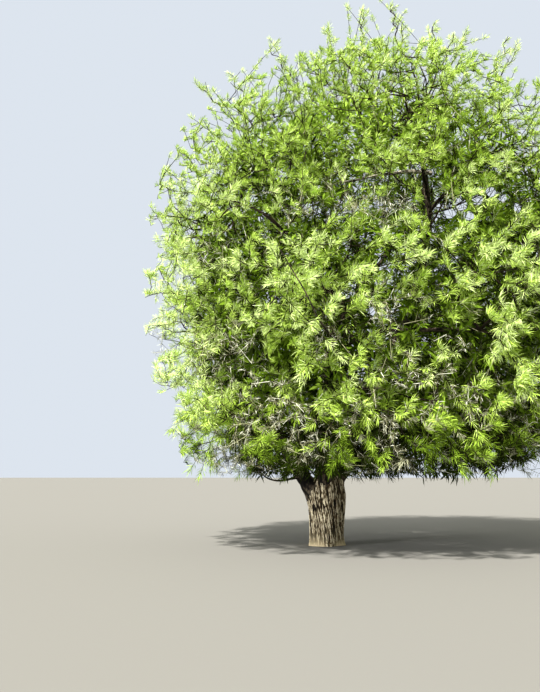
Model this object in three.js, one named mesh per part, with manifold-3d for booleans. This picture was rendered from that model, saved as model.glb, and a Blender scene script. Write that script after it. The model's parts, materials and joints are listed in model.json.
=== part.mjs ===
// A broad, two-storeyed prickly ash tree on a short forked trunk, rooted in level ground.
// Millimetres, +Z up. The origin is the middle of the flat cut under the trunk.
// +X runs to the right and +Y away from somebody who looks at the tree's front.

import * as THREE from "three";
import { mergeVertices } from "three/addons/utils/BufferGeometryUtils.js";
import Module from "manifold-3d";

const wasm = await Module();
wasm.setup();

// Driving dimensions: lengths in millimetres, angles in degrees
const GAP = 0.3;
const SEED = 20731;

const TRUNK = {
  height: 1720,
  footRadius: 392,
  waistRadius: 346,
  shoulderRadius: 396,
  flareFall: 150,
  shoulderHeight: 1000,
  leanX: 60,
  closing: 0.75,
  sides: 18,
  rings: 8,
};

// The crown's middle, and its half sizes to the outermost leaves
const CROWN = { x: 1250, y: 0, z: 5900, halfX: 5300, halfY: 5300, above: 6200, below: 7400 };
const BROWSE_HEIGHT = 1400; // nothing hangs lower

// The main limbs: a curve from the trunk's heart through two pulling points to the tip, and the radii at
// its ends. Its share up to cut belongs to the trunk, and the mass of foliage nearest to its tip is its own.
const LIMBS = [
  {
    name: "leader",
    from: [40, 10, 1150],
    to: [2350, 60, 8750],
    sway: [
      [260, 50, 2500],
      [2950, 110, 5150],
    ],
    radii: [262, 62],
    cut: 0.155,
  },
  {
    name: "left_limb",
    from: [-90, -20, 800],
    to: [-2350, 150, 6650],
    sway: [
      [-1080, -60, 2350],
      [-1900, 20, 4400],
    ],
    radii: [190, 50],
    cut: 0.14,
  },
  {
    name: "front_limb",
    from: [10, -60, 1080],
    to: [60, -2950, 4650],
    sway: [
      [-60, -900, 2500],
      [-200, -1900, 3300],
    ],
    radii: [158, 46],
    cut: 0.195,
  },
  {
    name: "right_limb",
    from: [100, 30, 1250],
    to: [4150, -150, 5700],
    sway: [
      [1100, 20, 2450],
      [3050, 0, 3300],
    ],
    radii: [186, 52],
    cut: 0.2,
  },
  {
    name: "back_limb",
    from: [-10, 70, 1080],
    to: [650, 3050, 6500],
    sway: [
      [-60, 1150, 2500],
      [520, 2500, 4400],
    ],
    radii: [198, 52],
    cut: 0.157,
  },
];

// Rings of foliage round the crown's axis: count, height, radius, first heading and step, half sizes
// across the heading, along it and upright, and how far the leaf sprays lift.
const RINGS = [
  {
    name: "crown_top",
    count: 1,
    height: 10480,
    radius: 600,
    first: 0,
    step: 0,
    half: [1900, 1800, 1050],
    lift: 0.75,
  },
  {
    name: "upper",
    count: 5,
    height: 9250,
    radius: 2850,
    first: 270,
    step: 72,
    half: [1650, 1350, 1250],
    lift: 0.35,
  },
  {
    name: "middle",
    count: 8,
    height: 7150,
    radius: 4000,
    first: 8,
    step: 45,
    half: [1600, 1350, 1350],
    lift: 0.05,
    waisted: true,
  },
  {
    name: "skirt",
    count: 8,
    height: 4650,
    radius: 4200,
    first: 22.5,
    step: 45,
    half: [1650, 1350, 1150],
    lift: -0.25,
  },
  {
    name: "hem",
    count: 6,
    height: 2750,
    radius: 3600,
    first: 30,
    step: 60,
    half: [1500, 1350, 900],
    lift: -0.55,
  },
];
const SPROUT = {
  name: "fork_sprout",
  sprays: 9,
  spray: 610,
  centre: [190, -760, 1890],
  half: [520, 330, 330],
  lift: -0.15,
  heading: 285,
  foot: [60, -200, 1480],
  root: [150, -570, 1770],
  stemRadius: 30,
};
const RING_JITTER = 260;
const WAIST = { heading: 278, spread: 32, depth: 1100 }; // the middle ring draws in towards the front

const LIMB = { taper: 0.8, steps: 10, sides: 8, rings: 6, stubRings: 2 };

// Side boughs: how they fork off, how they bow, how far they run into their mass, and what they clear
const BOUGH = {
  share: 0.62,
  thickest: 96,
  tip: 36,
  onward: 0.45,
  outward: 0.8,
  forward: 0.6,
  rise: 0.25,
  bow: 0.34,
  jitter: 0.07,
  entry: 0.62,
  below: 0.15,
  shortest: 900,
  clear: 40,
  forks: 24,
  fromCut: 0.03,
  sides: 5,
  rings: 3,
};

// Twigs and leaf sprays
const TWIG = {
  hubs: 2,
  hubReach: 0.45,
  least: 150,
  taper: 0.6,
  tipRadius: 7,
  leastFoot: 9,
  share: 0.5,
  sunkShare: 0.4,
  pathWeight: 0.2,
  turn: 420,
  crowding: 400,
};
const SPRAY = {
  number: 14,
  candidates: 140,
  reach: 1.3,
  leafyFrom: 0.62,
  length: 1470,
  vary: 0.15,
  width: 0.52,
  widest: 0.44,
  thickness: 0.03,
  sink: 47,
  droop: 0.08,
  outward: 0.4,
  away: 0.5,
  wander: 0.75,
  roll: 0.6,
  crossings: [0.25, 0.5, 0.75, 1],
};
const STEM_LENGTH = 150;
const SPACE_MARGIN = 14;
const LIMB_MARGIN = 24;

const UP = new THREE.Vector3(0, 0, 1);
const crownMiddle = new THREE.Vector3(CROWN.x, CROWN.y, CROWN.z);
const vec = (p) => new THREE.Vector3(...p);
const radians = THREE.MathUtils.degToRad;
const smooth = (x) => THREE.MathUtils.smoothstep(x, 0, 1);

// A repeatable stream of numbers from 0 to 1
function stream(seed) {
  let state = seed;
  return () => {
    state = (state * 48271) % 2147483647;
    return state / 2147483647;
  };
}

const spread = (draw) => 2 * draw() - 1;

// Solids from three.js geometry
function solidOf(geometry) {
  geometry.deleteAttribute("normal");
  geometry.deleteAttribute("uv");
  const merged = mergeVertices(geometry, 1e-3);
  return new wasm.Manifold(
    new wasm.Mesh({
      numProp: 3,
      vertProperties: merged.attributes.position.array,
      triVerts: new Uint32Array(merged.index.array),
    }),
  );
}

function geometryOf(solid) {
  const mesh = solid.getMesh();
  const positions = new Float32Array(mesh.numVert * 3);
  for (let i = 0; i < mesh.numVert; i++)
    positions.set(mesh.vertProperties.subarray(i * mesh.numProp, i * mesh.numProp + 3), i * 3);
  return new THREE.BufferGeometry()
    .setAttribute("position", new THREE.BufferAttribute(positions, 3))
    .setIndex(new THREE.BufferAttribute(mesh.triVerts, 1));
}

// The one body of a cut or joined solid that holds the most, without loose scraps
const largest = (solid) =>
  solid.decompose().reduce((best, one) => (one.volume() > best.volume() ? one : best));

// A closed tube with one ring at each station: where it is, which way it faces, and how far the ring
// reaches, as a length or as a function of the angle round it.
function sweep(stations, side, sides) {
  const corners = Array.from({ length: sides }, (_, i) => {
    const angle = (Math.PI * 2 * i) / sides;
    return new THREE.Vector2(Math.cos(angle), Math.sin(angle));
  });
  const steps = stations.length - 1;
  const tube = new THREE.ExtrudeGeometry(new THREE.Shape(corners), {
    depth: 1,
    steps,
    bevelEnabled: false,
  });
  const place = tube.getAttribute("position");
  const corner = new THREE.Vector3();
  for (let i = 0; i < place.count; i++) {
    corner.fromBufferAttribute(place, i);
    const { at, along, reach } = stations[Math.round(corner.z * steps)];
    const across = side.clone().addScaledVector(along, -side.dot(along)).normalize();
    const other = along.clone().cross(across);
    const radius = typeof reach === "number" ? reach : reach(Math.atan2(corner.y, corner.x));
    across.multiplyScalar(radius * corner.x).addScaledVector(other, radius * corner.y).add(at);
    place.setXYZ(i, across.x, across.y, across.z);
  }
  return solidOf(tube);
}

// The trunk: fluted, flared at the foot, waisted, widening towards its fork and closing over it
function trunkRadius(height, angle) {
  const foot = Math.exp(-height / TRUNK.flareFall);
  const round =
    TRUNK.waistRadius +
    (TRUNK.footRadius - TRUNK.waistRadius) * foot +
    (TRUNK.shoulderRadius - TRUNK.waistRadius) * smooth(height / TRUNK.shoulderHeight);
  const flutes = 0.55 * Math.cos(5 * angle + 0.8) + 0.45 * Math.cos(3 * angle - 0.5);
  const above = smooth((height - TRUNK.shoulderHeight) / (TRUNK.height - TRUNK.shoulderHeight));
  return round * (1 + (0.03 + 0.1 * foot) * flutes) * Math.sqrt(1 - TRUNK.closing * above);
}

function trunkSolid(grow) {
  const stations = Array.from({ length: TRUNK.rings + 1 }, (_, i) => {
    const height = TRUNK.height * (i / TRUNK.rings) ** 1.25;
    const end = i === 0 ? -grow : i === TRUNK.rings ? grow : 0;
    return {
      at: new THREE.Vector3((TRUNK.leanX * height) / TRUNK.height, 0, height + end),
      along: UP,
      reach: (angle) => trunkRadius(height, angle) + grow,
    };
  });
  const body = sweep(stations, new THREE.Vector3(1, 0, 0), TRUNK.sides);
  const stubs = limbs
    .filter((limb) => !limb.parent)
    .map((limb) => limbSolid(limb, 0, limb.cut, grow, { ...LIMB, rings: LIMB.stubRings }));
  return wasm.Manifold.union([body, ...stubs]);
}

// Limbs and boughs
function makeLimb(name, controls, radii, parent, cut) {
  const [a, b, c, d] = controls;
  const middle = new THREE.CubicBezierCurve3(a, b, c, d);
  const heading = d.clone().sub(a).setZ(0).normalize();
  const limb = {
    name,
    middle,
    side: new THREE.Vector3(-heading.y, heading.x, 0),
    radii,
    parent,
    cut,
    length: middle.getLength(),
  };
  limb.radiusAt = (share) => radii[0] + (radii[1] - radii[0]) * share ** LIMB.taper;
  limb.path = Array.from({ length: LIMB.steps + 1 }, (_, i) => middle.getPoint(i / LIMB.steps));
  limb.thickness = limb.path.map((_, i) => limb.radiusAt(i / LIMB.steps));
  return limb;
}

function limbSolid(limb, from, to, grow, { sides, rings }) {
  const end = Math.min(1, to + grow / limb.length);
  const stations = Array.from({ length: rings + 1 }, (_, i) => {
    const share = from + ((end - from) * i) / rings;
    return {
      at: limb.middle.getPoint(share),
      along: limb.middle.getTangent(share),
      reach: limb.radiusAt(share) + grow / Math.cos(Math.PI / sides),
    };
  });
  return sweep(stations, limb.side, sides);
}

// The least distance between two straight stretches, from p to q and from r to s
function stretchGap(p, q, r, s) {
  const u = q.clone().sub(p);
  const v = s.clone().sub(r);
  const w = p.clone().sub(r);
  const a = u.dot(u);
  const b = u.dot(v);
  const c = v.dot(v);
  const d = u.dot(w);
  const e = v.dot(w);
  const denominator = a * c - b * b;
  const clamp = (x) => Math.min(1, Math.max(0, x));
  let m = denominator > 1e-9 ? clamp((b * e - c * d) / denominator) : 0;
  const n = clamp((b * m + e) / c);
  m = clamp((b * n - d) / a);
  return w.addScaledVector(u, m).addScaledVector(v, -n).length();
}

// How far a straight stretch of the given radius stays clear of a limb, from its path's first step on
function clearOf(p, q, radius, limb, first = 0) {
  let least = Infinity;
  for (let i = first; i + 1 < limb.path.length; i++)
    least = Math.min(
      least,
      stretchGap(p, q, limb.path[i], limb.path[i + 1]) - limb.thickness[i] - radius,
    );
  return least;
}

// Masses of foliage: their places round the crown's axis
function placeMasses() {
  const draw = stream(SEED);
  const masses = [];
  for (const ring of RINGS)
    for (let i = 0; i < ring.count; i++) {
      const degrees = ring.first + i * ring.step;
      const heading = radians(degrees);
      const aside = (degrees - WAIST.heading) / WAIST.spread;
      const radius = ring.radius - (ring.waisted ? WAIST.depth * Math.exp(-aside * aside) : 0);
      const centre = new THREE.Vector3(
        CROWN.x + radius * Math.cos(heading) + RING_JITTER * spread(draw),
        CROWN.y + radius * Math.sin(heading) + RING_JITTER * spread(draw),
        ring.height + RING_JITTER * spread(draw),
      );
      masses.push({
        name: ring.count > 1 ? `${ring.name}_${i}` : ring.name,
        centre,
        heading,
        half: ring.half,
        lift: ring.lift,
        sprays: SPRAY.number,
        spray: SPRAY.length,
      });
    }
  masses.push({
    name: SPROUT.name,
    centre: vec(SPROUT.centre),
    heading: radians(SPROUT.heading),
    half: SPROUT.half,
    lift: SPROUT.lift,
    sprays: SPROUT.sprays,
    spray: SPROUT.spray,
  });
  return masses;
}

// A point of a mass's egg shape from shares across, along and upright
function inMass(mass, across, along, upright) {
  const c = Math.cos(mass.heading);
  const s = Math.sin(mass.heading);
  return new THREE.Vector3(
    mass.centre.x + along * mass.half[1] * c - across * mass.half[0] * s,
    mass.centre.y + along * mass.half[1] * s + across * mass.half[0] * c,
    mass.centre.z + upright * mass.half[2],
  );
}

// True where a point lies nearer to this mass's centre than to any other's, by the margin
function inSpace(mass, point) {
  if (point.z < BROWSE_HEIGHT || outness(point) > 1) return false;
  const own = point.distanceToSquared(mass.centre);
  return masses.every((other) => {
    if (other === mass) return true;
    const apart = 2 * other.centre.distanceTo(mass.centre);
    return (point.distanceToSquared(other.centre) - own) / apart > SPACE_MARGIN;
  });
}

const outness = (point) =>
  Math.hypot(
    (point.x - CROWN.x) / CROWN.halfX,
    (point.y - CROWN.y) / CROWN.halfY,
    (point.z - CROWN.z) / (point.z > CROWN.z ? CROWN.above : CROWN.below),
  );

// A side bough leaves the main limb where the way to its mass is shortest and nothing is in the way.
function makeBough(mass, draw) {
  const choices = [];
  for (const limb of limbs.filter((one) => !one.parent))
    for (let i = 0; i < BOUGH.forks - 1; i++) {
      const share = i / BOUGH.forks;
      if (share < limb.cut + BOUGH.fromCut) continue;
      const foot = limb.middle.getPoint(share);
      const way = mass.centre.clone().sub(foot);
      const onward = limb.middle.getTangent(share).dot(way.clone().normalize());
      choices.push({ limb, share, foot, way, cost: way.length() * (1 + BOUGH.onward * (1 - onward)) });
    }
  choices.sort((one, other) => one.cost - other.cost);
  const sways = [0, 1, 2, 3].map(() => spread(draw));
  for (const { limb, share, foot, way } of choices) {
    const length = way.length();
    const into = way.clone().normalize();
    const entry = mass.centre.clone().addScaledVector(into, -BOUGH.entry * mass.half[1]);
    entry.z -= BOUGH.below * mass.half[2];
    const reach = entry.distanceTo(foot);
    if (reach < BOUGH.shortest || !inSpace(mass, entry)) continue;
    const along = limb.middle.getTangent(share);
    const cross = into.clone().cross(UP).normalize();
    const start = into.clone().multiplyScalar(BOUGH.outward).addScaledVector(along, BOUGH.forward);
    const arrive = into.clone().addScaledVector(UP, BOUGH.rise * mass.lift);
    const lean = (direction, sign, first, second) =>
      direction
        .clone()
        .normalize()
        .multiplyScalar(sign * BOUGH.bow * reach)
        .addScaledVector(cross, BOUGH.jitter * length * first)
        .addScaledVector(UP, BOUGH.jitter * length * second);
    const near = foot.clone().add(lean(start, 1, sways[0], sways[1]));
    const far = entry.clone().add(lean(arrive, -1, sways[2], sways[3]));
    const radius = Math.min(BOUGH.thickest, BOUGH.share * limb.radiusAt(share));
    const bough = makeLimb(`${mass.name}_bough`, [foot, near, far, entry], [radius, BOUGH.tip], limb, 0);
    const free = limbs.every((other) => {
      for (let i = other === limb ? 3 : 0; i + 1 < bough.path.length; i++) {
        const gap = clearOf(bough.path[i], bough.path[i + 1], bough.thickness[i], other);
        if (gap < BOUGH.clear) return false;
      }
      return true;
    });
    if (free) return bough;
  }
  throw new Error(`no clear way to ${mass.name}`);
}

// The six corners of a leaf spray: root, tip, two edges, and the ridge within and without. It lies along
// the crown's skin, turned by the roll.
function sprayCorners(root, along, length, roll) {
  const level = along.clone().cross(root.clone().sub(crownMiddle)).normalize();
  const above = level.clone().cross(along);
  const side = level.multiplyScalar(Math.cos(roll)).addScaledVector(above, Math.sin(roll));
  const normal = along.clone().cross(side);
  const tip = root.clone().addScaledVector(along, length).addScaledVector(UP, -SPRAY.droop * length);
  const middle = root.clone().addScaledVector(along, SPRAY.widest * length);
  const half = 0.5 * SPRAY.width * length;
  const ridge = 0.5 * SPRAY.thickness * length;
  return [
    root,
    tip,
    middle.clone().addScaledVector(side, half),
    middle.clone().addScaledVector(side, -half),
    middle.clone().addScaledVector(normal, ridge),
    middle.clone().addScaledVector(normal, -ridge),
  ];
}

function spraySolid(corners) {
  const [root, tip, left, right, above, below] = corners;
  const blade = new THREE.OctahedronGeometry(1, 0);
  const at = blade.getAttribute("position");
  const pairs = [
    [left, right],
    [above, below],
    [tip, root],
  ];
  for (let i = 0; i < at.count; i++) {
    const axis = [0, 1, 2].find((k) => Math.abs(at.getComponent(i, k)) > 0.5);
    const place = pairs[axis][at.getComponent(i, axis) > 0 ? 0 : 1];
    at.setXYZ(i, place.x, place.y, place.z);
  }
  return solidOf(blade);
}

// A spray keeps to its mass's space and clear of the limbs.
function sprayFits(corners, mass) {
  if (!corners.every((corner) => inSpace(mass, corner))) return false;
  const [root, tip, left, right] = corners;
  const ribs = [
    [root, tip],
    [root, left],
    [root, right],
    [left, tip],
    [right, tip],
  ];
  for (const end of [root, tip])
    for (const share of SPRAY.crossings)
      ribs.push([end.clone().lerp(left, share), end.clone().lerp(right, share)]);
  return limbs.every((limb) =>
    ribs.every(([p, q]) => clearOf(p, q, SPRAY.thickness * mass.spray, limb) > LIMB_MARGIN),
  );
}

// Sprays are dealt out evenly: of several drawn at random, each place goes to the one that lies furthest
// from all the sprays there are.
function placeSprays(mass, taken, draw) {
  const sprays = [];
  for (let n = 0; n < mass.sprays; n++) {
    let best = null;
    for (let i = 0; i < SPRAY.candidates; i++) {
      const size = mass.spray * (1 + SPRAY.vary * spread(draw));
      const root = inMass(mass, ...[0, 1, 2].map(() => SPRAY.reach * spread(draw)));
      const outward = root.clone().sub(crownMiddle).normalize();
      const away = root.clone().sub(mass.centre).normalize();
      const along = new THREE.Vector3(spread(draw), spread(draw), spread(draw))
        .multiplyScalar(SPRAY.wander)
        .addScaledVector(outward, SPRAY.outward)
        .addScaledVector(away, SPRAY.away)
        .addScaledVector(UP, mass.lift)
        .normalize();
      const roll = SPRAY.roll * spread(draw);
      const corners = sprayCorners(root, along, size, roll);
      if (mass.limb && outness(corners[1]) < SPRAY.leafyFrom) continue;
      const middle = root.clone().lerp(corners[1], 0.5);
      const apart = taken.reduce((least, one) => Math.min(least, one.distanceTo(middle)), Infinity);
      if (best && apart < best.apart) continue;
      if (sprayFits(corners, mass)) best = { root, along, size, roll, middle, apart };
    }
    if (!best) continue;
    sprays.push(best);
    taken.push(best.middle);
  }
  return sprays;
}

// Twigs: each node joins the one already grown that it reaches by the shortest way, counted from the
// stem's foot with a charge for turning.
function growTwigs(mass, sprays, draw) {
  const nodes = [{ at: mass.root, back: -1, path: 0, along: mass.into, children: 0 }];
  const free = (p, q) => limbs.every((limb) => clearOf(p, q, 2 * TWIG.leastFoot, limb) > LIMB_MARGIN);
  const grow = (point, spray) => {
    const ways = nodes
      .map((node, back) => {
        const way = point.clone().sub(node.at);
        const length = way.length();
        const turn = 1 - way.dot(node.along) / length;
        const charge = TWIG.pathWeight * node.path + TWIG.crowding * node.children;
        return { back, length, way, cost: length + charge + TWIG.turn * turn * turn };
      })
      .filter((one) => one.length > TWIG.least)
      .sort((one, other) => one.cost - other.cost);
    const found = ways.find(({ back }) => free(nodes[back].at, point));
    if (!found) return;
    const path = nodes[found.back].path + found.length;
    nodes[found.back].children += 1;
    nodes.push({ at: point, back: found.back, path, along: found.way.normalize(), spray, children: 0 });
  };
  for (let i = 0; i < TWIG.hubs; i++) {
    const point = inMass(mass, ...[0, 1, 2].map(() => TWIG.hubReach * spread(draw)));
    if (inSpace(mass, point)) grow(point);
  }
  const far = (spray) => spray.root.distanceTo(mass.root);
  for (const spray of sprays.toSorted((one, other) => far(one) - far(other))) grow(spray.root, spray);
  for (const node of nodes) node.carries = 1;
  for (let i = nodes.length - 1; i > 0; i--) nodes[nodes[i].back].carries += nodes[i].carries;
  return nodes;
}

// Twigs run on through the child that carries most, and each other child starts a twig of its own.
function twigChains(nodes) {
  const chains = [[0]];
  for (const chain of chains)
    for (;;) {
      const end = chain.at(-1);
      const [main, ...others] = nodes
        .map((node, i) => ({ i, ...node }))
        .filter((node) => node.back === end)
        .sort((one, other) => other.carries - one.carries);
      if (!main) break;
      chain.push(main.i);
      for (const other of others) chains.push([end, other.i]);
    }
  return chains;
}

// A tapering three-sided twig through its nodes. A side twig starts inside the twig that bears it.
function twigSolid(chain, nodes, mass) {
  const parent = nodes[chain[0]].radius;
  const points = chain.map((i) => nodes[i].at);
  const thick = parent ? Math.max(TWIG.leastFoot, TWIG.share * parent) : mass.stemRadius;
  if (!parent) points.unshift(mass.foot);
  const last = points.length - 1;
  const stations = points.map((at, i) => {
    const before = at.clone().sub(points[Math.max(0, i - 1)]).normalize();
    const after = points[Math.min(last, i + 1)].clone().sub(at).normalize();
    const taper = thick + (TWIG.tipRadius - thick) * (i / last) ** TWIG.taper;
    const reach = parent && i === 0 ? TWIG.sunkShare * parent : taper;
    return { at, along: before.add(after).normalize(), reach };
  });
  const offset = points.length - chain.length;
  chain.forEach((node, i) => (nodes[node].radius ??= stations[i + offset].reach));
  const side = Math.abs(stations[0].along.z) < 0.9 ? UP : new THREE.Vector3(1, 0, 0);
  return sweep(stations, side, 3);
}

// Twigs and sprays are fused into one body. Each spray's root is sunk along the heart of its twig.
function massSolid(mass, taken) {
  const draw = stream(SEED + 977 * (1 + masses.indexOf(mass)));
  const nodes = growTwigs(mass, placeSprays(mass, taken, draw), draw);
  const solids = twigChains(nodes).map((chain) => twigSolid(chain, nodes, mass));
  const blades = [];
  for (const { at, along, spray } of nodes.filter((node) => node.spray)) {
    const root = at.clone().addScaledVector(along, -SPRAY.sink);
    const blade = spraySolid(sprayCorners(root, spray.along, spray.size, spray.roll));
    if (blades.every((other) => other.intersect(blade).isEmpty())) blades.push(blade);
  }
  const whole = wasm.Manifold.union([...solids, ...blades]);
  return largest(mass.limb ? whole : whole.subtract(grownTrunk));
}

const limbs = LIMBS.map(({ name, from, to, sway, radii, cut }) =>
  makeLimb(name, [vec(from), ...sway.map(vec), vec(to)], radii, null, cut),
);
const masses = placeMasses();
for (const limb of limbs) {
  const apart = (mass) => mass.centre.distanceTo(limb.path.at(-1));
  masses.reduce((best, mass) => (apart(mass) < apart(best) ? mass : best)).limb = limb;
}
masses.forEach((mass, i) => {
  if (mass.limb || mass.name === SPROUT.name) return;
  mass.limb = makeBough(mass, stream(SEED + 131 * (i + 1)));
  limbs.push(mass.limb);
});
const grownTrunk = trunkSolid(GAP);

// Each stem goes on from its bough's tip, and the sprout's stands on the trunk's front.
for (const mass of masses) {
  if (mass.limb) {
    const end = mass.limb.middle.getPoint(1);
    mass.into = mass.limb.middle.getTangent(1);
    mass.stemRadius = mass.limb.radii[1];
    mass.foot = end.clone().addScaledVector(mass.into, GAP);
    mass.root = end.addScaledVector(mass.into, STEM_LENGTH);
  } else {
    mass.root = vec(SPROUT.root);
    mass.foot = vec(SPROUT.foot);
    mass.into = mass.root.clone().sub(mass.foot).normalize();
    mass.stemRadius = SPROUT.stemRadius;
  }
  if (!inSpace(mass, mass.root)) throw new Error(`${mass.name} starts outside its space`);
}

const BARK = { color: 0x6f6252, roughness: 0.95, metalness: 0 };
const FOLIAGE = [0x8fb340, 0x7fa53a, 0x99bd4b];
const tree = new THREE.Group();

function addNode(name, solid, look) {
  const mesh = new THREE.Mesh(geometryOf(solid), new THREE.MeshStandardMaterial(look));
  mesh.name = name;
  tree.add(mesh);
}

addNode("trunk", trunkSolid(0), BARK);
for (const limb of limbs) {
  const whole = limb.parent
    ? limbSolid(limb, 0, 1, 0, BOUGH)
    : limbSolid(limb, limb.cut, 1, 0, LIMB);
  const parent = limb.parent ? limbSolid(limb.parent, limb.parent.cut, 1, GAP, LIMB) : grownTrunk;
  addNode(limb.name, largest(whole.subtract(parent)), BARK);
}
const taken = [];
masses.forEach((mass, i) => {
  const color = FOLIAGE[i % FOLIAGE.length];
  addNode(`${mass.name}_foliage`, massSolid(mass, taken), { color, roughness: 0.6, metalness: 0 });
});

export default tree;
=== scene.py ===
"""A broad prickly ash tree on a short furrowed trunk, dressed with bark, twigs and leaf tufts.

The growing rule works in millimetres, as the solids do, and the meshes are made in metres.
+Z is up, +X runs to the right and +Y away from somebody who looks at the tree's front.
"""

import json
import math

import bpy
import numpy as np
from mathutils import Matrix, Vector

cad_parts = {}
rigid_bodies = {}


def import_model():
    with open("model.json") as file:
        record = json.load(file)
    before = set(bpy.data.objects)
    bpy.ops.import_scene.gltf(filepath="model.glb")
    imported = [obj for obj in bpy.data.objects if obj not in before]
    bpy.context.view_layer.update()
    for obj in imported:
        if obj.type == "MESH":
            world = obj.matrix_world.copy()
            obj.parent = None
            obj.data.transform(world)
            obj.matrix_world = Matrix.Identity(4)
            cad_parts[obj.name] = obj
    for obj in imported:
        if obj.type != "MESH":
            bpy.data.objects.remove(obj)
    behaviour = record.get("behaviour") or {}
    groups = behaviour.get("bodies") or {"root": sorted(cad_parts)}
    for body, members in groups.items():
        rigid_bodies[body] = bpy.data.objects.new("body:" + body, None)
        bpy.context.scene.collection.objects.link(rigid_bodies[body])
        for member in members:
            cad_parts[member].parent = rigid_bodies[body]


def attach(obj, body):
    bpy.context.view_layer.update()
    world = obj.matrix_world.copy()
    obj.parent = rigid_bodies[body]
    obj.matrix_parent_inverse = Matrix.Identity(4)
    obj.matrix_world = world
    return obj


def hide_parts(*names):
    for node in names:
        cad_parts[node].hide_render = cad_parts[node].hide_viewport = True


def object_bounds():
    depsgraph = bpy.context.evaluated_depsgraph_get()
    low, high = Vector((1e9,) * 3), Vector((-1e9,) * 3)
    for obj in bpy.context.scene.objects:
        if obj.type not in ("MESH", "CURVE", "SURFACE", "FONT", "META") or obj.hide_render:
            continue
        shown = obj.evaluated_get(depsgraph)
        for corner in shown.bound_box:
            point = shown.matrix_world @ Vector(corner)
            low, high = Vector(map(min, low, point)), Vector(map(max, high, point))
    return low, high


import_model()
solid_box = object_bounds()

# The photograph's eye: where it stands, how far it tilts up, and its frame
EYE = (-1.2, -17.7, 1.6)
TILT = 8.8
FOCAL_PIXELS = 800
FRAME_WIDTH = 540
FRAME_HEIGHT = 692

MM = 0.001
SEED = 20731
UP = np.array([0.0, 0.0, 1.0])
WIND = np.array([1.0, 0.0, 0.15])

# Trunk: heights and radii, how far it leans at its top, how much its top draws in, each set of flutes by its
# share, number and turn, and how deep they are all the way up and more at the foot
TRUNK = dict(height=1720, foot=392, waist=346, shoulder=396, flare_fall=150, shoulder_height=1000)
TRUNK_LEAN = 60
TRUNK_CLOSING = 0.75
FLUTES = ((0.55, 5, 0.8), (0.45, 3, -0.5))
FLUTE_DEPTH = 0.03
FLUTE_AT_FOOT = 0.1

# Crown: its middle, its half sizes sideways, above and below the middle, the browse line, and the hem's
# waves over it
CROWN = np.array([1250.0, 0.0, 5900.0])
CROWN_HALF = (5300.0, 5300.0)
CROWN_ABOVE = 6200.0
CROWN_BELOW = 7400.0
BROWSE_HEIGHT = 1400.0
HEM = dict(wave=170.0, across=310, swing=1.3, along=270)

# Main limbs: from, two pulling points, to, radii at both ends, and the share that belongs to the trunk
LIMBS = [
    ("leader", (40, 10, 1150), (260, 50, 2500), (2950, 110, 5150), (2350, 60, 8750), (262, 62), 0.155),
    ("left_limb", (-90, -20, 800), (-1080, -60, 2350), (-1900, 20, 4400), (-2350, 150, 6650),
     (190, 50), 0.14),
    ("front_limb", (10, -60, 1080), (-60, -900, 2500), (-200, -1900, 3300), (60, -2950, 4650),
     (158, 46), 0.195),
    ("right_limb", (100, 30, 1250), (1100, 20, 2450), (3050, 0, 3300), (4150, -150, 5700), (186, 52), 0.2),
    ("back_limb", (-10, 70, 1080), (-60, 1150, 2500), (520, 2500, 4400), (650, 3050, 6500),
     (198, 52), 0.157),
]

# Lesser boughs inside the crown: from, two pulling points, to, and radii at both ends
INNER_BOUGHS = [
    ("inner_left", (2550, 50, 8400), (1900, -300, 8480), (1300, -700, 7980), (330, -1000, 7810), (54, 24)),
    ("inner_back", (2400, 100, 8750), (1500, 500, 8900), (700, 700, 9000), (70, 800, 9600), (40, 14)),
    ("inner_right", (2350, 60, 8650), (2700, 50, 8950), (3100, 20, 9050), (3570, 0, 8980), (38, 14)),
    ("front_arm", (60, -2850, 4500), (-100, -4300, 3300), (-500, -5000, 4300), (-1050, -4800, 5250),
     (27, 8)),
    ("low_arm", (-440, -80, 1450), (-850, -300, 1450), (-1200, -400, 1220), (-1450, -500, 1600), (34, 11)),
]

# Rings of foliage: name, count, height, radius, first heading and step, half sizes, lift of the sprays
RINGS = [
    ("crown_top", 1, 10480, 600, 0, 0, (1900, 1800, 1050), 0.75),
    ("upper", 5, 9250, 2850, 270, 72, (1650, 1350, 1250), 0.35),
    ("middle", 8, 7150, 4000, 8, 45, (1600, 1350, 1350), 0.05),
    ("skirt", 8, 4650, 4200, 22.5, 45, (1650, 1350, 1150), -0.25),
    ("hem", 6, 2750, 3600, 30, 60, (1500, 1350, 900), -0.55),
]
SPROUT = dict(
    name="fork_sprout", centre=(190, -760, 1890), heading=285, half=(520, 330, 330), lift=-0.15,
    sprays=9, spray=610, foot=(60, -200, 1480), root=(150, -570, 1770), radius=30,
)
RING_JITTER = 260

# How far the middle masses draw in towards the crown's axis about one heading, spread in degrees
WAIST = dict(heading=278, spread=32, depth=1100)

# Side boughs: their thickness, their way from limb to mass, and what they keep clear of
LIMB_TAPER = 0.8
LIMB_STEPS = 10
BOUGH = dict(
    share=0.62, thickest=96, tip=36, onward=0.45, outward=0.8, forward=0.6, rise=0.25, bow=0.34,
    jitter=0.07, entry=0.62, below=0.15, shortest=900, clear=40, own_steps=3, forks=24, from_cut=0.03,
)

# The solids' twigs and leaf sprays: how they grow, where they lie, and their shape by shares of their length
TWIG = dict(hubs=2, hub_reach=0.45, least=150, path=0.2, turn=420, crowding=400, radius=18, tries=400)
SPRAY = dict(
    number=14, candidates=140, reach=1.3, leafy_from=0.62, length=1470, vary=0.15, width=0.52,
    widest=0.44, thickness=0.03, droop=0.08, outward=0.4, away=0.5, wander=0.75, roll=0.6,
)
CROSSINGS = (0.25, 0.5, 0.75, 1)
STEM_LENGTH = 150
SPACE_MARGIN = 14
LIMB_MARGIN = 24

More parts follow.
